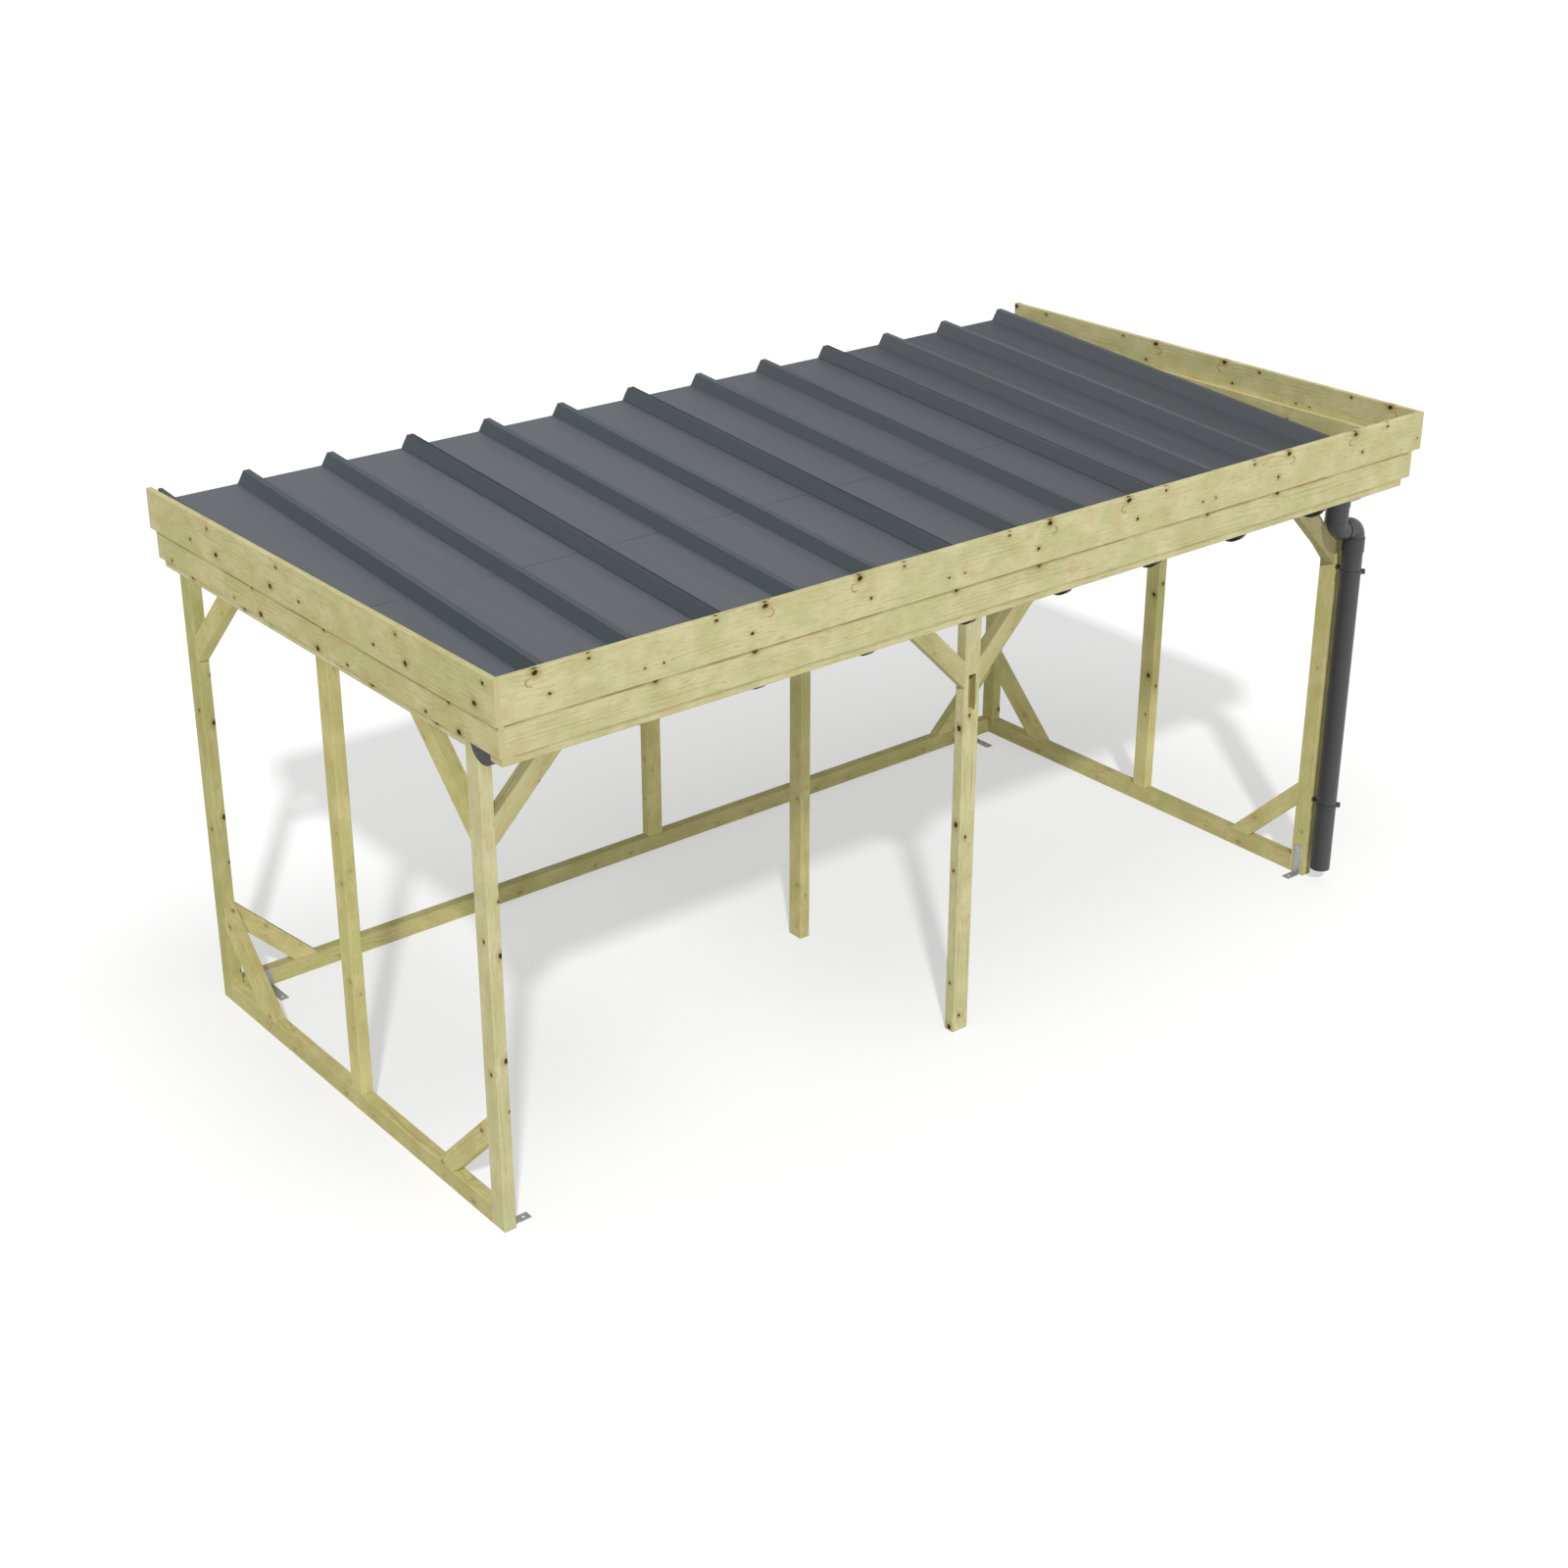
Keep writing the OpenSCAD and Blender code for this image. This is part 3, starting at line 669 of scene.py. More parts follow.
@dataclass(frozen=True)
class RoofCoat:
    """Slate-grey polyester coat on the ribbed steel sheets, with painted shade on the ribs and
    laps and a painted reflection fade.
    """

    name: str = "coated_steel"
    coat: Colour = linear(91, 95, 100)
    worn: Colour = linear(99, 103, 108)
    # painted shade: the rib sides are darker than the pans
    flank_shade: Colour = linear(71, 79, 83)
    # painted reflection and shade: the pans dull and the rib sides lighten towards the right
    # and at the far end
    dull: Colour = linear(77, 81, 85)
    dull_flank: Colour = linear(79, 83, 87)
    far_pan: Colour = linear(71, 75, 79)
    far_flank: Colour = linear(83, 87, 91)
    # painted shade: dark tops on the lap ribs and dark lines at the laps, across the sheets and
    # at one rib foot
    lap_crest_shade: Colour = linear(57, 62, 66)
    shade_lines: Colour = linear(38, 41, 45)
    seam_at: float = -0.047
    seam_half_width: float = 0.0016
    lap_ribs: tuple[int, ...] = (3, 6, 9)
    lap_half_width: float = 0.0125
    lap_shade_line: tuple[float, float] = (0.0075, 0.0045)
    foot_shade_line: tuple[float, float] = (1.0535, 0.0085)
    first_rib: float = -2.028
    rib_pitch: float = 0.3317
    rib_half_foot: float = 0.036
    far_end: tuple[float, float] = (1.00, 1.25)
    seam_end: tuple[float, float] = (0.9, 1.2)
    pan_top: float = 0.0
    slope: float = 0.0

    def material(self) -> bpy.types.Material:
        """Build the material.

        Returns:
            The finished material.
        """
        w = Wiring(self.name)
        spot = w.spot()
        x, y, z = w.split(spot)
        level = w.split(w.facing())[2]
        streaks = w.noise(w.stretch(spot, (22, 1.1, 4)), detail=4, roughness=0.6)
        clouds = w.noise(w.stretch(spot, (2.4, 1.6, 2)), detail=3)
        # painted reflection: the pans dull and the rib sides lighten towards +x, and more at
        # the far end
        reflection_fade = w.ease(w.plus(x, w.times(clouds, 0.8)), -0.6, 2.2)
        pans = w.blend(w.ease(streaks, 0.30, 0.75), self.coat, self.worn)
        pans = w.blend(w.times(reflection_fade, 0.85), pans, self.dull)
        flank_shades = w.blend(reflection_fade, self.flank_shade, self.dull_flank)
        far = w.ease(x, *self.far_end)
        pans = w.blend(far, pans, self.far_pan)
        flank_shades = w.blend(far, flank_shades, self.far_flank)
        # painted shade: the pan beside each rib foot, the steep rib sides and the crowns take
        # the shade colour
        off_rib = w.maths("PINGPONG", w.minus(x, self.first_rib),
                          self.rib_pitch / 2)
        near = w.ease(off_rib, self.rib_half_foot - 0.004, self.rib_half_foot + 0.024, 0.4, 0)
        steep = w.ease(level, 0.55, 0.95, 1, 0)
        pan = w.plus(w.times(y, self.slope), self.pan_top)
        crown = w.ease(w.minus(z, pan), 0.010, 0.030, 0, 0.8)
        colour = w.blend(w.most(w.most(near, steep), crown),
                         pans, flank_shades)
        # painted shade lines across the sheets, beside the lap ribs and at one rib foot
        off_seam = w.off(y, self.seam_at)
        line = w.ease(off_seam, self.seam_half_width, self.seam_half_width * 2.4, 1, 0)
        broken = w.ease(w.noise(w.stretch(spot, (4.5, 1, 1)), detail=1), 0.36, 0.60, 0.15, 0.55)
        on_pan = w.times(w.ease(steep, 0.1, 0.5, 1, 0), w.ease(x, *self.seam_end, 1, 0))
        shade_lines = w.times(line, w.times(broken, on_pan))
        for rib in self.lap_ribs:
            off_rib = w.minus(x, self.first_rib + self.rib_pitch * rib)
            on_crest = w.ease(w.maths("ABSOLUTE", off_rib), self.lap_half_width,
                              self.lap_half_width + 0.002, 1, 0)
            colour = w.blend(on_crest, colour, self.lap_crest_shade)
            shade_lines = w.most(shade_lines, self.stripe(w, off_rib, *self.lap_shade_line))
        shade_lines = w.most(shade_lines, self.stripe(w, x, *self.foot_shade_line))
        colour = w.blend(shade_lines, colour, self.shade_lines)
        peel = w.noise(spot, scale=420, detail=2)
        w.bump(w.minus(peel, w.times(shade_lines, 2.0)), 0.0003, 0.35)
        w.set(Base_Color=colour, Roughness=w.ease(streaks, 0.3, 0.75, 0.5, 0.64))
        w.shader.inputs["Specular IOR Level"].default_value = 0.15
        return w.material

    @staticmethod
    def stripe(w: Wiring, value: Socket, centre: float, half_width: float) -> Socket:
        """A stripe with soft edges where a value is near its centre.

        Args:
            w: The material being wired.
            value: What is read.
            centre: Middle of the stripe.
            half_width: Half the stripe's width.

        Returns:
            1 inside the stripe and 0 outside.
        """
        off = w.off(value, centre)
        return w.ease(off, half_width, half_width + 0.0015, 1, 0)


@dataclass(frozen=True)
class GutterPlastic:
    """Moulded anthracite plastic of the gutter and the pipes, lighter on one side by painted
    reflection.
    """

    name: str
    body: Colour = linear(46, 46, 47)
    # painted reflection: colour of the side that faces the sheen side
    sheen_colour: Colour = linear(80, 80, 81)
    sheen_side: tuple[float, float, float] = (0.766, -0.643, 0.0)

    def material(self) -> bpy.types.Material:
        """Build the material.

        Returns:
            The finished material.
        """
        w = Wiring(self.name)
        spot = w.spot()
        mottle = w.noise(w.stretch(spot, (5, 5, 2.2)), detail=4, roughness=0.6)
        flow = w.noise(w.stretch(spot, (60, 60, 3)), detail=2)
        # painted reflection: lighter where the surface faces the sheen side, with a real mottle
        # mixed in
        towards_sheen = w.measure("DOT_PRODUCT", w.node("ShaderNodeNewGeometry").outputs["Normal"],
                             self.sheen_side)
        worn = w.plus(towards_sheen, w.times(w.minus(mottle, 0.5), 0.5))
        colour = w.blend(w.ease(worn, -0.95, 1.05), self.body, self.sheen_colour)
        w.bump(w.plus(flow, w.noise(spot, scale=900, detail=1)), 0.0002, 0.25)
        w.set(Base_Color=colour, Roughness=w.ease(mottle, 0.3, 0.75, 0.34, 0.46))
        w.shader.inputs["Specular IOR Level"].default_value = 0.3
        return w.material


@dataclass(frozen=True)
class Galvanised:
    """Hot-dip zinc on the ground angles."""

    name: str = "galvanised_steel"
    bright: Colour = linear(192, 193, 192)
    dull: Colour = linear(156, 158, 158)

    def material(self) -> bpy.types.Material:
        """Build the material.

        Returns:
            The finished material.
        """
        w = Wiring(self.name)
        spot = w.spot()
        cells = w.node("ShaderNodeTexVoronoi", {"Vector": spot, "Scale": 160.0})
        spangle = w.split(cells.outputs["Color"])[0]
        cloud = w.noise(spot, scale=30, detail=3)
        mixed = w.plus(w.times(spangle, 0.6), w.times(cloud, 0.4))
        w.bump(spangle, 0.0001, 0.2)
        w.set(Base_Color=w.blend(mixed, self.dull, self.bright),
              Roughness=w.ease(mixed, 0, 1, 0.38, 0.58))
        w.shader.inputs["Metallic"].default_value = 0.55
        return w.material


# ---------------------------------------------------------------- sub-assemblies

def dress(node: str, material: bpy.types.Material, rounding: float = 0.0,
          segments: int = 2) -> None:
    """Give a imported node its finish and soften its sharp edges.

    Args:
        node: Name of the node.
        material: What it is finished in.
        rounding: Width of the rounding on its edges, in metres.
        segments: Faces across each rounding.
    """
    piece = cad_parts[node]
    for slot in piece.material_slots:
        slot.material = material
    if rounding:
        weld = piece.modifiers.new("join_corners", "WELD")
        weld.merge_threshold = JOIN_WITHIN
        bevel = piece.modifiers.new("soften_edges", "BEVEL")
        bevel.width = rounding
        bevel.segments = segments
        bevel.limit_method = "ANGLE"
        bevel.angle_limit = SHARP_ANGLE
        bevel.harden_normals = False
    LOG.info("dressed %s in %s", node, material.name)


def middle(node: str, axis: Axis) -> float:
    """Middle of a node's box along one axis."""
    low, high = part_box(node)
    return (low[axis.value] + high[axis.value]) / 2


def top(node: str) -> float:
    """Height of a node's highest point."""
    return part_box(node)[1][Axis.Z.value]


def low_side(node: str, axis: Axis) -> float:
    """Lowest value of a node's box along one axis."""
    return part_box(node)[0][axis.value]


def high_side(node: str, axis: Axis) -> float:
    """Highest value of a node's box along one axis."""
    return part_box(node)[1][axis.value]


@dataclass
class TimberFrame:
    """Posts, sole plates, braces, purlins and rails."""

    rounding: float = 0.0025
    corner_posts: tuple[str, ...] = ("post_front_left", "post_front_right",
                                     "post_back_left", "post_back_right")
    open_posts: tuple[str, ...] = ("post_front_left", "post_front_middle")
    clean_pieces: tuple[str, ...] = ("post_centre", "post_back_middle", "post_middle_left",
                                     "sole_plate_back", "sole_plate_right",
                                     "sole_plate_left", "post_front_right")
    # painted shade: deeper, yellower copies of the pine colour for pieces in shade
    deep_shade: Colour = (0.95, 0.93, 0.74)
    sole: Colour = (0.86, 0.84, 0.68)
    dim_shade: Colour = (0.78, 0.80, 0.60)
    warm_shade: Colour = (0.83, 0.83, 0.75)
    slot_bottom: float = 1.280
    corner_figure: tuple[float, float] = (-0.048, 0.041)
    inner_figure: tuple[float, float] = (0.022, -0.050)
    level_figure: tuple[float, float] = (0.021, -0.052)
    brace_edge: float = -0.050
    low_brace_set: float = 0.002
    high_brace_set: float = 0.020
    level_shift: tuple[float, float] = (0.17, -0.5)
    brace_shift: float = 0.13
    board_lap: float = 0.0125
    side_lap: float = 0.018
    post_mirrors: dict[str, float] = field(default_factory=lambda: {
        "post_front_left": 0.816, "post_front_middle": 1.030, "post_front_right": 1.160,
        "post_middle_left": 0.700, "post_centre": 0.420, "post_middle_right": 0.790,
        "post_back_left": 0.950, "post_back_middle": 0.610, "post_back_right": 0.300})

    def build(self) -> None:
        """Dress every timber of the frame."""
        self.dress_posts()
        self.dress_level_timbers()
        self.dress_braces()

    def dress_posts(self) -> None:
        """Dress the nine posts, grain upright."""
        for seed, (node, mirror) in enumerate(self.post_mirrors.items()):
            wide, edge = self.corner_figure if node in self.corner_posts else self.inner_figure
            finish = PineFinish(
                node, Run.UPRIGHT, mirror_at=mirror, base=low_side(node, Axis.Y) + wide,
                edge_base=low_side(node, Axis.X) + edge,
                shade_tint=self.post_shade_tint(node),
                slot=self.slot(node) if node == "post_front_middle" else None,
                knottiness=self.knottiness(node), seed=seed + 1.3)
            dress(node, finish.material(), self.rounding)

    def dress_level_timbers(self) -> None:
        """Dress plates, purlins and rails, grain along their length."""
        sideways = ("sole_plate_back", "purlin_front", "purlin_middle", "purlin_back",
                    "rail_front")
        inwards = ("sole_plate_left", "sole_plate_right", "rail_left", "rail_right")
        for seed, node in enumerate(sideways + inwards):
            run = Run.SIDEWAYS if node in sideways else Run.INWARDS
            finish = PineFinish(
                node, run, mirror_at=self.level_shift[0] * seed + self.level_shift[1],
                base=low_side(node, Axis.Z) + self.level_figure[0],
                edge_base=low_side(node, run.wide_axis) + self.level_figure[1],
                lap_at=self.board_edge() if node.startswith("rail") else None,
                lap_reach=self.board_lap if run is Run.SIDEWAYS else self.side_lap,
                lap_strength=0.45,
                lap_face=(high_side if node.endswith("right") else low_side)(
                    node, run.wide_axis),
                shade_tint=self.level_shade_tint(node),
                knottiness=0.0 if node == "rail_front" else self.knottiness(node),
                seed=seed + 14.6)
            dress(node, finish.material(), self.rounding)

    def post_shade_tint(self, node: str) -> Colour:
        """Painted shade on a post: the open ones are pale, the sheltered ones deeper."""
        if node == "post_centre":
            return self.sole
        if node in self.open_posts:
            return 1.0, 1.0, 1.0
        return self.dim_shade if node in ("post_back_right", "post_back_left") else self.deep_shade

    def level_shade_tint(self, node: str) -> Colour:
        """Painted shade colour of a rail, purlin or sole plate."""
        if node.startswith("rail"):
            return 1.0, 1.0, 1.0
        return self.sole if node.startswith("sole") else self.deep_shade

    def knottiness(self, node: str) -> float:
        """How dark the knots of a timber are, from 0 to 1."""
        return 0.3 if node in self.clean_pieces else 1.0

    def slot(self, node: str) -> Slot:
        """The slot in the front of a post."""
        return Slot(middle(node, Axis.X), low_side(node, Axis.Y), self.slot_bottom)

    @staticmethod
    def board_edge() -> float:
        """Height of the lower boards' lower edge."""
        return low_side("lower_fascia_front", Axis.Z)

    def dress_braces(self) -> None:
        """Dress the braces, grain along their slope."""
        left = middle("post_front_left", Axis.X)
        centre = middle("post_front_middle", Axis.X)
        right = middle("post_front_right", Axis.X)
        front = middle("post_front_left", Axis.Y)
        back = middle("post_back_left", Axis.Y)
        rows = {
            "lower_braces_left": (Run.LOW_BRACE_INWARDS, (front, back)),
            "lower_braces_right": (Run.LOW_BRACE_INWARDS, (front, back)),
            "lower_braces_back": (Run.LOW_BRACE_SIDEWAYS, (left, right)),
            "upper_braces_front": (Run.HIGH_BRACE_SIDEWAYS, (left, centre, right)),
            "upper_braces_left": (Run.HIGH_BRACE_INWARDS, (front, back)),
            "upper_braces_right": (Run.HIGH_BRACE_INWARDS, (front, back))}
        for seed, (node, (run, posts)) in enumerate(rows.items()):
            # painted shade: darker tops, the front braces darker to the right, and a shade
            # colour
            finish = PineFinish(
                node, run, mirror_at=self.brace_shift * seed, base=self.brace_base(node, run),
                edge_base=low_side(node, run.wide_axis) + self.brace_edge,
                posts_at=posts, top_shade=0.9, seed=seed + 31.2,
                shade_right=0.82 if node == "upper_braces_front" else 1.0,
                shade_tint=self.deep_shade if run.is_low_brace or "left" in node else self.warm_shade,
                knottiness=0.6 if node == "lower_braces_left" else 0.3)
            dress(node, finish.material(), self.rounding)

    def brace_base(self, node: str, run: Run) -> float:
        """Where the middle line of a brace lies across its slope.

        Args:
            node: Name of the brace node.
            run: How the braces lean.

        Returns:
            Metres across the slope.
        """
        low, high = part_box(node)
        if run.is_low_brace:
            return high[2] * math.sqrt(0.5) + self.low_brace_set
        return (low[2] - self.high_brace_set) * math.sqrt(0.5)


@dataclass
class FasciaBoards:
    """The double band of boards round the roof."""

    rounding: float = 0.0016
    front_mirror: float = -0.921
    front_knots: tuple[Knot, ...] = (Knot(0.567, 0.086, 0.0038),)
    front_swirls: tuple[Knot, ...] = (Knot(0.170, 0.026, 0.0125),)
    # painted shade: the side boards are darker and yellower for the light that falls on them
    side_shade_tint: Colour = (0.95, 0.94, 0.86)
    side_lap: float = 0.018
    edge_set: float = 0.06
    upper_drop: float = 0.012
    side_drops: tuple[float, float] = (0.104, 0.132)
    front_drop: float = 0.0135
    lower_figure: PineFigure = PineFigure(mirrored=False, knots=(
        Knot(0.619, 0.0, 0.0090), Knot(0.992, 0.0, 0.0105)))
    upper_mirrors: dict[str, float] = field(default_factory=lambda: {
        "left": -0.7955, "right": 0.065})
    lower_mirrors: dict[str, float] = field(default_factory=lambda: {
        "left": 0.158, "right": 0.488})

    def build(self) -> None:
        """Dress the six boards."""
        self.dress_side("left", low_side("upper_fascia_left", Axis.X), False)
        self.dress_side("right", high_side("upper_fascia_right", Axis.X), True)
        self.dress_front()

    def dress_side(self, side: str, edge: float, flipped: bool) -> None:
        """Dress the upper and lower board of one side.

        Args:
            side: Left or right.
            edge: Outer face of the upper board.
            flipped: Whether the upper board's figure hangs from its top edge.
        """
        upper, lower = f"upper_fascia_{side}", f"lower_fascia_{side}"
        base = top(upper) - (self.upper_drop if flipped else self.side_drops[0])
        finish = PineFinish(upper, Run.INWARDS, mirror_at=self.upper_mirrors[side],
                            base=base, edge_base=edge + (0.0 if flipped else self.edge_set),
                            flipped=flipped, shade_tint=self.side_shade_tint,
                            extra_knots=self.front_knots if flipped else (),
                            swirls=self.front_swirls if flipped else (), seed=edge + 53.0)
        dress(upper, finish.material(), self.rounding)
        outer = (high_side if flipped else low_side)(lower, Axis.X)
        finish = PineFinish(lower, Run.INWARDS, mirror_at=self.lower_mirrors[side],
                            base=top(lower) - self.side_drops[1],
                            edge_base=edge + self.edge_set, lap_at=low_side(upper, Axis.Z),
                            lap_reach=self.side_lap, lap_face=outer, shade_tint=self.side_shade_tint,
                            seed=edge + 57.4)
        dress(lower, finish.material(), self.rounding)

    def dress_front(self) -> None:
        """Dress the two front boards."""
        upper, lower = "upper_fascia_front", "lower_fascia_front"
        finish = PineFinish(upper, Run.SIDEWAYS, mirror_at=self.front_mirror,
                            base=top(upper) - self.upper_drop,
                            edge_base=low_side(upper, Axis.Y),
                            flipped=True, extra_knots=self.front_knots,
                            swirls=self.front_swirls, seed=61.7)
        dress(upper, finish.material(), self.rounding)
        finish = PineFinish(lower, Run.SIDEWAYS, mirror_at=self.front_mirror,
                            base=low_side(upper, Axis.Z) - self.front_drop,
                            edge_base=low_side(lower, Axis.Y) + self.edge_set, flipped=True,
                            figure=self.lower_figure, lap_at=low_side(upper, Axis.Z),
                            lap_face=low_side(lower, Axis.Y), seed=64.9)
        dress(lower, finish.material(), self.rounding)


@dataclass
class Roof:
    """Four ribbed sheets that lap over each other at a rib."""

    sheets: tuple[str, ...] = ("roof_sheet_1", "roof_sheet_2", "roof_sheet_3", "roof_sheet_4")
    pitch: float = math.radians(4.5)
    pan_rise: float = 0.003

    def build(self) -> None:
        """Dress the sheets."""
        slope = math.tan(self.pitch)
        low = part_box(self.sheets[1])[0]
        finish = RoofCoat(slope=slope, pan_top=low[2] + self.pan_rise - low[1] * slope)
        material = finish.material()
        for node in self.sheets:
            dress(node, material)


@dataclass
class RainwaterGoods:
    """Gutter, brackets, outlet, elbows, downpipe and clips."""

    gutter_nodes: tuple[str, ...] = ("gutter", "gutter_outlet")
    pipe_nodes: tuple[str, ...] = ("elbow_upper", "elbow_lower", "downpipe", "downpipe_clips")
    # painted shade: the brackets under the rail take a darker copy of the plastic
    bracket_shade_body: Colour = linear(36, 34, 31)
    bracket_shade_sheen: Colour = linear(44, 42, 39)

    def build(self) -> None:
        """Dress the gutter and the pipes."""
        gutter = GutterPlastic("gutter_plastic").material()
        for node in self.gutter_nodes:
            dress(node, gutter)
        bracket = GutterPlastic("bracket_plastic", self.bracket_shade_body, self.bracket_shade_sheen)
        dress("gutter_brackets", bracket.material())
        pipe = GutterPlastic("pipe_plastic").material()
        for node in self.pipe_nodes:
            dress(node, pipe)


@dataclass
class GroundAngles:
    """Steel angles that pin the corners to the ground."""

    rounding: float = 0.0008

    def build(self) -> None:
        """Dress the angles."""
        dress("ground_anchors", Galvanised().material(), self.rounding)


# ---------------------------------------------------------------- fixings

@dataclass(frozen=True)
class Fixing:
    """Where one screw head sits and which way it faces."""

    at: Vector
    facing: Vector


@dataclass(frozen=True)
class ScrewTree:
    """Geometry Nodes that set a recessed screw head on every point."""

    radius: float = 0.0042
    height: float = 0.0012
    sides: int = 10
    seed: int = 11
    rim: float = 0.74
    recess: float = 0.5
    sink: float = -0.7
    facing: str = "facing"

    def lay(self, name: str, fixings: Sequence[Fixing],
            material: bpy.types.Material) -> bpy.types.Object:
        """Make one mesh of screw heads.

        Args:
            name: Name of the piece.
            fixings: Where the heads sit.
            material: What they are finished in.

        Returns:
            The finished piece.
        """
        points = bpy.data.meshes.new(f"{name}_points")
        points.from_pydata([tuple(one.at) for one in fixings], [], [])
        ways = points.attributes.new(self.facing, "FLOAT_VECTOR", "POINT")
        for value, one in zip(ways.data, fixings):
            value.vector = one.facing
        holder = bpy.data.objects.new(f"{name}_points", points)
        bpy.context.scene.collection.objects.link(holder)
        setter = holder.modifiers.new("set_screws", "NODES")
        setter.node_group = self.tree()
        sizes = {"Radius": self.radius, "Height": self.height, "Sides": self.sides,
                 "Seed": self.seed, "Material": material}
        for item in setter.node_group.interface.items_tree:
            if item.in_out == "INPUT" and item.name in sizes:
                setter[item.identifier] = sizes[item.name]
        graph = bpy.context.evaluated_depsgraph_get()
        mesh = bpy.data.meshes.new_from_object(holder.evaluated_get(graph))
        holder.modifiers.clear()
        bpy.data.objects.remove(holder)
        piece = bpy.data.objects.new(name, mesh)
        bpy.context.scene.collection.objects.link(piece)
        return piece

    def tree(self) -> bpy.types.NodeTree:
        """Build the node tree.

        Returns:
            The tree, with its sizes as named inputs.
        """
        tree = bpy.data.node_groups.new("screw_heads", "GeometryNodeTree")
        node = Nodes(tree).node
        for name, kind in (("Points", "Geometry"), ("Radius", "Float"), ("Height", "Float"),
                           ("Sides", "Int"), ("Seed", "Int"), ("Material", "Material")):
            tree.interface.new_socket(name, in_out="INPUT", socket_type=f"NodeSocket{kind}")
        tree.interface.new_socket("Screws", in_out="OUTPUT", socket_type="NodeSocketGeometry")
        given = node("NodeGroupInput").outputs
        rim = node("ShaderNodeMath", {0: given["Radius"], 1: self.rim}, operation="MULTIPLY")
        sink = node("ShaderNodeMath", {0: given["Height"], 1: self.sink},
                    operation="MULTIPLY")
        head = node("GeometryNodeMeshCone",
                    {"Vertices": given["Sides"], "Radius Top": rim.outputs[0],
                     "Radius Bottom": given["Radius"], "Depth": given["Height"]})
        edge = node("GeometryNodeExtrudeMesh",
                    {"Mesh": head.outputs["Mesh"], "Selection": head.outputs["Top"],
                     "Offset Scale": 0.0})
        inner = node("GeometryNodeScaleElements",
                     {"Geometry": edge.outputs["Mesh"], "Selection": edge.outputs["Top"],
                      "Scale": self.recess})
        recess = node("GeometryNodeExtrudeMesh",
                      {"Mesh": inner.outputs[0], "Selection": edge.outputs["Top"],
                       "Offset Scale": sink.outputs[0]})
        facing = node("GeometryNodeInputNamedAttribute", {"Name": self.facing},
                      data_type="FLOAT_VECTOR")
        aimed = node("FunctionNodeAlignRotationToVector",
                     {"Vector": facing.outputs["Attribute"]}, axis="Z")
        spin = node("FunctionNodeRandomValue", {"Seed": given["Seed"]}, data_type="FLOAT")
        turn = node("FunctionNodeAxisAngleToRotation",
                    {"Axis": (0.0, 0.0, 1.0), "Angle": spin.outputs[1]})
        turned = node("FunctionNodeRotateRotation",
                      {"Rotation": aimed.outputs[0], "Rotate By": turn.outputs[0]},
                      rotation_space="LOCAL")
        placed = node("GeometryNodeInstanceOnPoints",
                      {"Points": given["Points"], "Instance": recess.outputs["Mesh"],
                       "Rotation": turned.outputs[0]})
        real = node("GeometryNodeRealizeInstances", {"Geometry": placed.outputs[0]})
        dressed = node("GeometryNodeSetMaterial",
                       {"Geometry": real.outputs[0], "Material": given["Material"]})
        node("NodeGroupOutput", {"Screws": dressed.outputs[0]})
        return tree


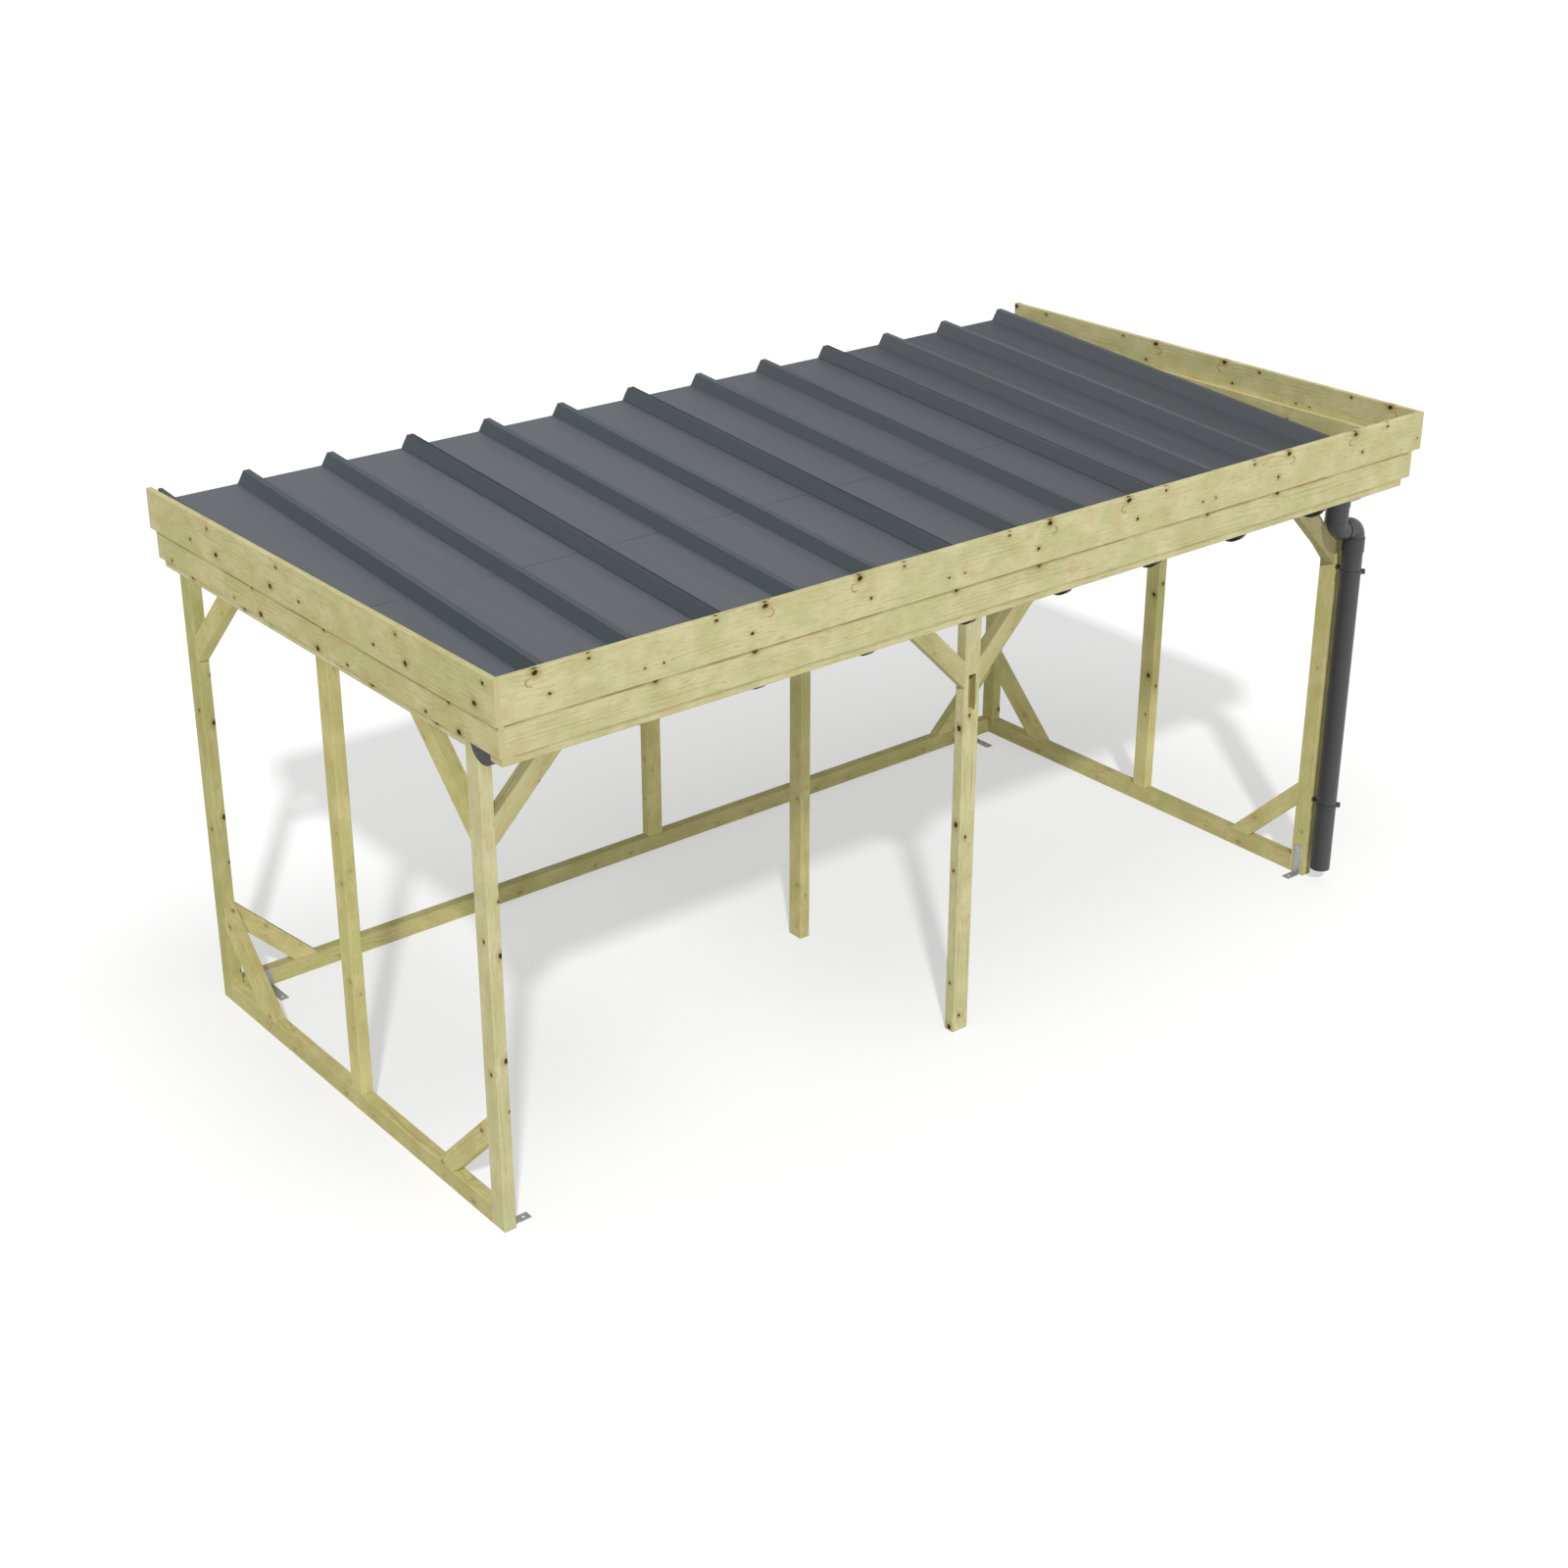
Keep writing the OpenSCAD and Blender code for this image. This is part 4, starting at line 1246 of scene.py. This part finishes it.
@dataclass
class Fixings:
    """Screws in the braces, left rail, back corners and ground angles."""

    sunk: float = 0.0002
    brace_width: float = 0.070
    from_end: float = 0.020
    pair_gap: float = 0.022
    rail_parts: tuple[float, ...] = (0.2, 0.5, 0.8)
    stagger: float = 0.010
    anchor_heights: tuple[float, ...] = (0.035, 0.075, 0.110)
    low_anchor_heights: tuple[float, ...] = (0.028, 0.055)
    anchor_thickness: float = 0.004
    anchor_inset: float = 0.160
    anchor_radius: float = 0.0035
    anchor_height: float = 0.0016
    towards_front: Vector = field(default_factory=lambda: Vector((-0.59, -0.70, 0.40)))

    def build(self) -> None:
        """Set every screw."""
        zinc = Galvanised("screw_zinc").material()
        timber = self.brace_screws() + self.rail_screws() + self.corner_screws()
        for name, fixings, slot, tree in (
                ("timber_screws", timber, "frame_timber", ScrewTree()),
                ("anchor_screws", self.anchor_screws(), "anchor_steel",
                 ScrewTree(radius=self.anchor_radius, height=self.anchor_height))):
            piece = tree.lay(name, fixings, zinc)
            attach(piece, BODY)
            LOG.info("set %d screws in %s", len(fixings), name)

    def fixing(self, at: Sequence[float], facing: Sequence[float]) -> Fixing:
        """One fixing, sunk a hair below the surface that it sits on."""
        way = Vector(facing).normalized()
        return Fixing(Vector(at) - way * self.sunk, way)

    def brace_screws(self) -> list[Fixing]:
        """Two screws through each end of every brace, on its sheltered edge."""
        found: list[Fixing] = []
        centre_low = low_side("post_front_middle", Axis.X)
        centre_high = high_side("post_front_middle", Axis.X)
        for node, run in (("lower_braces_left", Axis.Y), ("lower_braces_right", Axis.Y),
                          ("upper_braces_left", Axis.Y), ("upper_braces_right", Axis.Y),
                          ("lower_braces_back", Axis.X), ("upper_braces_front", Axis.X)):
            ends = [(low_side(node, run), 1), (high_side(node, run), -1)]
            if node == "upper_braces_front":
                ends += [(centre_low, -1), (centre_high, 1)]
            for corner, away in ends:
                found += self.one_brace(node, run, corner, away)
        return found

    def one_brace(self, node: str, run: Axis, corner: float, away: int) -> list[Fixing]:
        """Screws of one brace.

        Args:
            node: Name of its node.
            run: Level axis that it leans along.
            corner: Where its post's face stands on that axis.
            away: 1 where it leans towards higher values, or -1.

        Returns:
            Its four fixings.
        """
        low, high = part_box(node)
        reach = high[2] - low[2]
        rise = 1 if node.startswith("lower") else -1
        seat = low[2] if rise > 0 else high[2]
        across = Axis.X if run is Axis.Y else Axis.Y
        way = Vector((0, 0, rise))
        way[run.value] = away
        far = way.dot(self.towards_front) < 0
        line = reach if far else reach - self.brace_width * math.sqrt(2)
        found = []
        for out in (self.from_end, line - self.from_end):
            for side in (-0.5, 0.5):
                at = Vector((0, 0, seat + rise * (line - out)))
                at[run.value] = corner + away * out
                at[across.value] = middle(node, across) + side * self.pair_gap
                found.append(self.fixing(at, way if far else -way))
        return found

    def rail_screws(self) -> list[Fixing]:
        """Staggered screws through the left rail, between posts and braces."""
        face = high_side("rail_left", Axis.X)
        level = middle("rail_left", Axis.Z)
        low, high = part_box("upper_braces_left")
        reach = high[2] - low[2]
        spans = ((low[1] + reach, low_side("post_middle_left", Axis.Y)),
                 (high_side("post_middle_left", Axis.Y), high[1] - reach))
        found = []
        for first, last in spans:
            for i, part in enumerate(self.rail_parts):
                z = level + (self.stagger if i % 2 else -self.stagger)
                found.append(self.fixing((face, first + (last - first) * part, z), (1, 0, 0)))
        return found

    def corner_screws(self) -> list[Fixing]:
        """Two through each end of the back purlin, two into the back plate."""
        purlin, plate = "purlin_back", "sole_plate_back"
        level, side = middle(purlin, Axis.Z), high_side("post_back_right", Axis.X)
        found = []
        for gap in (-0.5, 0.5):
            for post in ("post_back_left", "post_back_right"):
                at = (middle(post, Axis.X), high_side(purlin, Axis.Y),
                      level + gap * self.pair_gap * 2)
                found.append(self.fixing(at, (0, 1, 0)))
            at = (side, middle(plate, Axis.Y), middle(plate, Axis.Z) + gap * self.pair_gap)
            found.append(self.fixing(at, (1, 0, 0)))
        return found

    def anchor_screws(self) -> list[Fixing]:
        """Screws through the upright leg of each angle."""
        low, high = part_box("ground_anchors")
        thickness = self.anchor_thickness
        row = middle("post_front_left", Axis.Y)
        found = []
        for x, way in ((low[0] + thickness, 1), (high[0] - thickness, -1)):
            found += [self.fixing((x, row, z), (way, 0, 0)) for z in self.anchor_heights]
        for x in (low_side("post_back_left", Axis.X) + self.anchor_inset,
                  high_side("post_back_right", Axis.X) - self.anchor_inset):
            found += [self.fixing((x, high[1] - thickness, z), (0, -1, 0))
                      for z in self.low_anchor_heights]
        return found


# ---------------------------------------------------------------- studio

@dataclass(frozen=True)
class PaintedShadow:
    """A soft patch of painted shadow on the floor under the shelter."""

    centre: tuple[float, float]
    half_size: tuple[float, float]
    fade: float
    depth: float

    def depth_at(self, w: Wiring, spot: Sequence[Socket]) -> Socket:
        """How much the painted shadow darkens the floor at a spot.

        Args:
            w: The material being wired.
            spot: Place on the floor.

        Returns:
            What is taken off the floor's paleness.
        """
        off = [w.most(w.minus(w.off(value, middle_at), half), 0)
               for value, middle_at, half in zip(spot, self.centre, self.half_size)]
        away = w.measure("LENGTH", w.vector(*off, 0))
        return w.ease(away, 0, self.fade, self.depth, 0)


@dataclass
class Studio:
    """Pale floor, one soft sun, an even sky and the camera."""

    floor_radius: float = 120.0
    floor_sides: int = 64
    floor_tint: Colour = (0.55, 0.55, 0.55)
    floor_seen: float = 0.56
    # painted shadow: soft patches on the floor under the shelter
    painted_shadows: tuple[PaintedShadow, ...] = (
        PaintedShadow((1.2, 0.4), (0.9, 0.4), 1.4, 0.17),
        PaintedShadow((-1.6, 0.65), (0.05, 0.48), 1.2, 0.18))
    floor_glow: float = 0.50
    sun_strength: float = 2.55
    weak_sun: float = 1.3
    fill_strength: float = 0.68
    bounce_strength: float = 0.58
    overhangs: tuple[str, ...] = ("upper_fascia", "lower_fascia", "rail", "gutter")
    outer_pieces: tuple[str, ...] = (
        "upper_fascia", "lower_fascia", "rail", "gutter", "roof_sheet", "elbow", "downpipe",
        "post_front", "post_middle_left", "post_back_left", "sole_plate_left")
    outer_braces: tuple[str, ...] = ("upper_braces_front", "upper_braces_left",
                                     "lower_braces_left")
    sun_from: tuple[float, float, float] = (-0.429, -0.607, 0.669)
    fill_from: tuple[float, float, float] = (-0.45, -0.84, 0.30)
    bounce_from: tuple[float, float, float] = (-0.40, -0.42, -0.82)
    under_eaves: tuple[str, ...] = ("gutter_brackets",)
    softness: float = math.radians(3)
    sky_strength: float = 0.46
    camera_at: tuple[float, float, float] = (-5.2772, -6.2986, 4.5814)
    camera_tilt: float = math.pi / 2 - 0.419
    camera_turn: float = -0.680
    lens: float = 54.63
    shift: tuple[float, float] = (0.0049, -0.0356)

    def build(self) -> None:
        """Lay the floor, hang the lights and set the camera."""
        self.lay_floor()
        self.light()
        self.set_camera()

    def lay_floor(self) -> None:
        """A wide disc that fades to white where the camera sees it lit."""
        turns = [2 * math.pi * i / self.floor_sides for i in range(self.floor_sides)]
        points = [(self.floor_radius * math.cos(turn), self.floor_radius * math.sin(turn), 0.0)
                  for turn in turns]
        mesh = bpy.data.meshes.new("studio_floor")
        mesh.from_pydata(points, [], [tuple(range(self.floor_sides))])
        floor = bpy.data.objects.new("studio_floor", mesh)
        bpy.context.scene.collection.objects.link(floor)
        w = Wiring("studio_floor")
        seen = w.looked_at()
        spot = w.split(w.spot())
        shown: Input = self.floor_seen
        # painted shadow taken off the floor's paleness
        for patch in self.painted_shadows:
            shown = w.minus(shown, patch.depth_at(w, spot))
        w.set(Base_Color=w.blend(seen, self.floor_tint, w.vector(shown, shown, shown)),
              Roughness=0.9)
        w.shader.inputs["Specular IOR Level"].default_value = 0.0
        white = w.node("ShaderNodeEmission",
                       {"Color": WHITE, "Strength": w.times(seen, self.floor_glow)})
        both = w.node("ShaderNodeAddShader", {0: w.shader.outputs["BSDF"], 1: white.outputs[0]})
        w.feed(w.output.inputs["Surface"], both.outputs[0])
        mesh.materials.append(w.material)
        LOG.info("laid the floor")

    def light(self) -> None:
        """A soft sun, strong outside and weak inside, with two fills inside."""
        pieces = [item for item in bpy.data.objects if item.type == "MESH"]
        solid = [item for item in pieces if item.name != "studio_floor"]
        floor = [item for item in pieces if item not in solid]
        outer = [item for item in solid if item.name.startswith(self.outer_pieces)
                 and item.name not in self.under_eaves]
        braces = [item for item in solid if item.name.startswith(self.outer_braces)]
        inner = [item for item in solid if item not in outer + braces]
        open_air = [item for item in solid if not item.name.startswith(self.overhangs)]
        self.hang_lamp("sun_on_outside", self.sun_strength, self.sun_from, outer, open_air)
        self.hang_lamp("sun_on_floor", self.sun_strength, self.sun_from, floor, solid)
        self.hang_lamp("sun_on_braces", self.weak_sun, self.sun_from, braces, open_air)
        self.hang_lamp("sun_on_inside", self.weak_sun, self.sun_from, inner, solid)
        timbers = [item for item in braces + inner if item.name not in self.under_eaves]
        self.hang_lamp("fill_inside", self.fill_strength, self.fill_from, timbers, [])
        self.hang_lamp("bounce_inside", self.bounce_strength, self.bounce_from, timbers, [])
        self.hang_sky()
        LOG.info("hung the lights")

    def hang_sky(self) -> None:
        """An even sky that lights softly and looks white."""
        world = bpy.data.worlds.new("even_sky")
        bpy.context.scene.world = world
        world.use_nodes = True
        sky = Nodes(world.node_tree)
        soft = sky.node("ShaderNodeBackground", {"Color": WHITE, "Strength": self.sky_strength})
        white = sky.node("ShaderNodeBackground", {"Color": WHITE, "Strength": 1.0})
        mixer = sky.node("ShaderNodeMixShader", {0: sky.looked_at(), 1: soft.outputs[0],
                                                 2: white.outputs[0]})
        sky.node("ShaderNodeOutputWorld", {"Surface": mixer.outputs[0]})

    def hang_lamp(self, name: str, strength: float, comes_from: Sequence[float],
                  lit: list[bpy.types.Object], shading: list[bpy.types.Object]) -> None:
        """Hang a far lamp with soft edges.

        Args:
            name: Name of the lamp.
            strength: How strong it is.
            comes_from: Direction that its light comes from.
            lit: What it lights.
            shading: What casts shadows in its light, or nothing for no shadows.
        """
        sun = bpy.data.lights.new(name, "SUN")
        sun.energy = strength
        sun.use_shadow = bool(shading)
        sun.angle = self.softness
        lamp = bpy.data.objects.new(name, sun)
        lamp.rotation_euler = Vector(comes_from).to_track_quat("Z", "Y").to_euler()
        bpy.context.scene.collection.objects.link(lamp)
        for role, items in (("receiver", lit), ("blocker", shading)):
            group = bpy.data.collections.new(f"{name}_{role}")
            for item in items:
                group.objects.link(item)
            setattr(lamp.light_linking, f"{role}_collection", group)

    def set_camera(self) -> None:
        """Set the camera high at the front left corner."""
        lens = bpy.data.cameras.new("camera")
        lens.lens = self.lens
        lens.sensor_width = 36
        lens.shift_x, lens.shift_y = self.shift
        camera = bpy.data.objects.new("camera", lens)
        camera.location = self.camera_at
        camera.rotation_euler = Euler((self.camera_tilt, 0, self.camera_turn))
        bpy.context.scene.collection.objects.link(camera)
        bpy.context.scene.camera = camera
        bpy.context.scene.view_settings.view_transform = "Standard"
        LOG.info("set the camera")


def main() -> None:
    """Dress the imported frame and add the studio."""
    logging.basicConfig(level=logging.INFO, format="%(name)s: %(message)s")
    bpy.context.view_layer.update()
    sub_assemblies = (TimberFrame(), FasciaBoards(), Roof(), RainwaterGoods(),
                      GroundAngles(), Fixings(), Studio())
    for part in sub_assemblies:
        part.build()


if __name__ == "__main__":
    main()
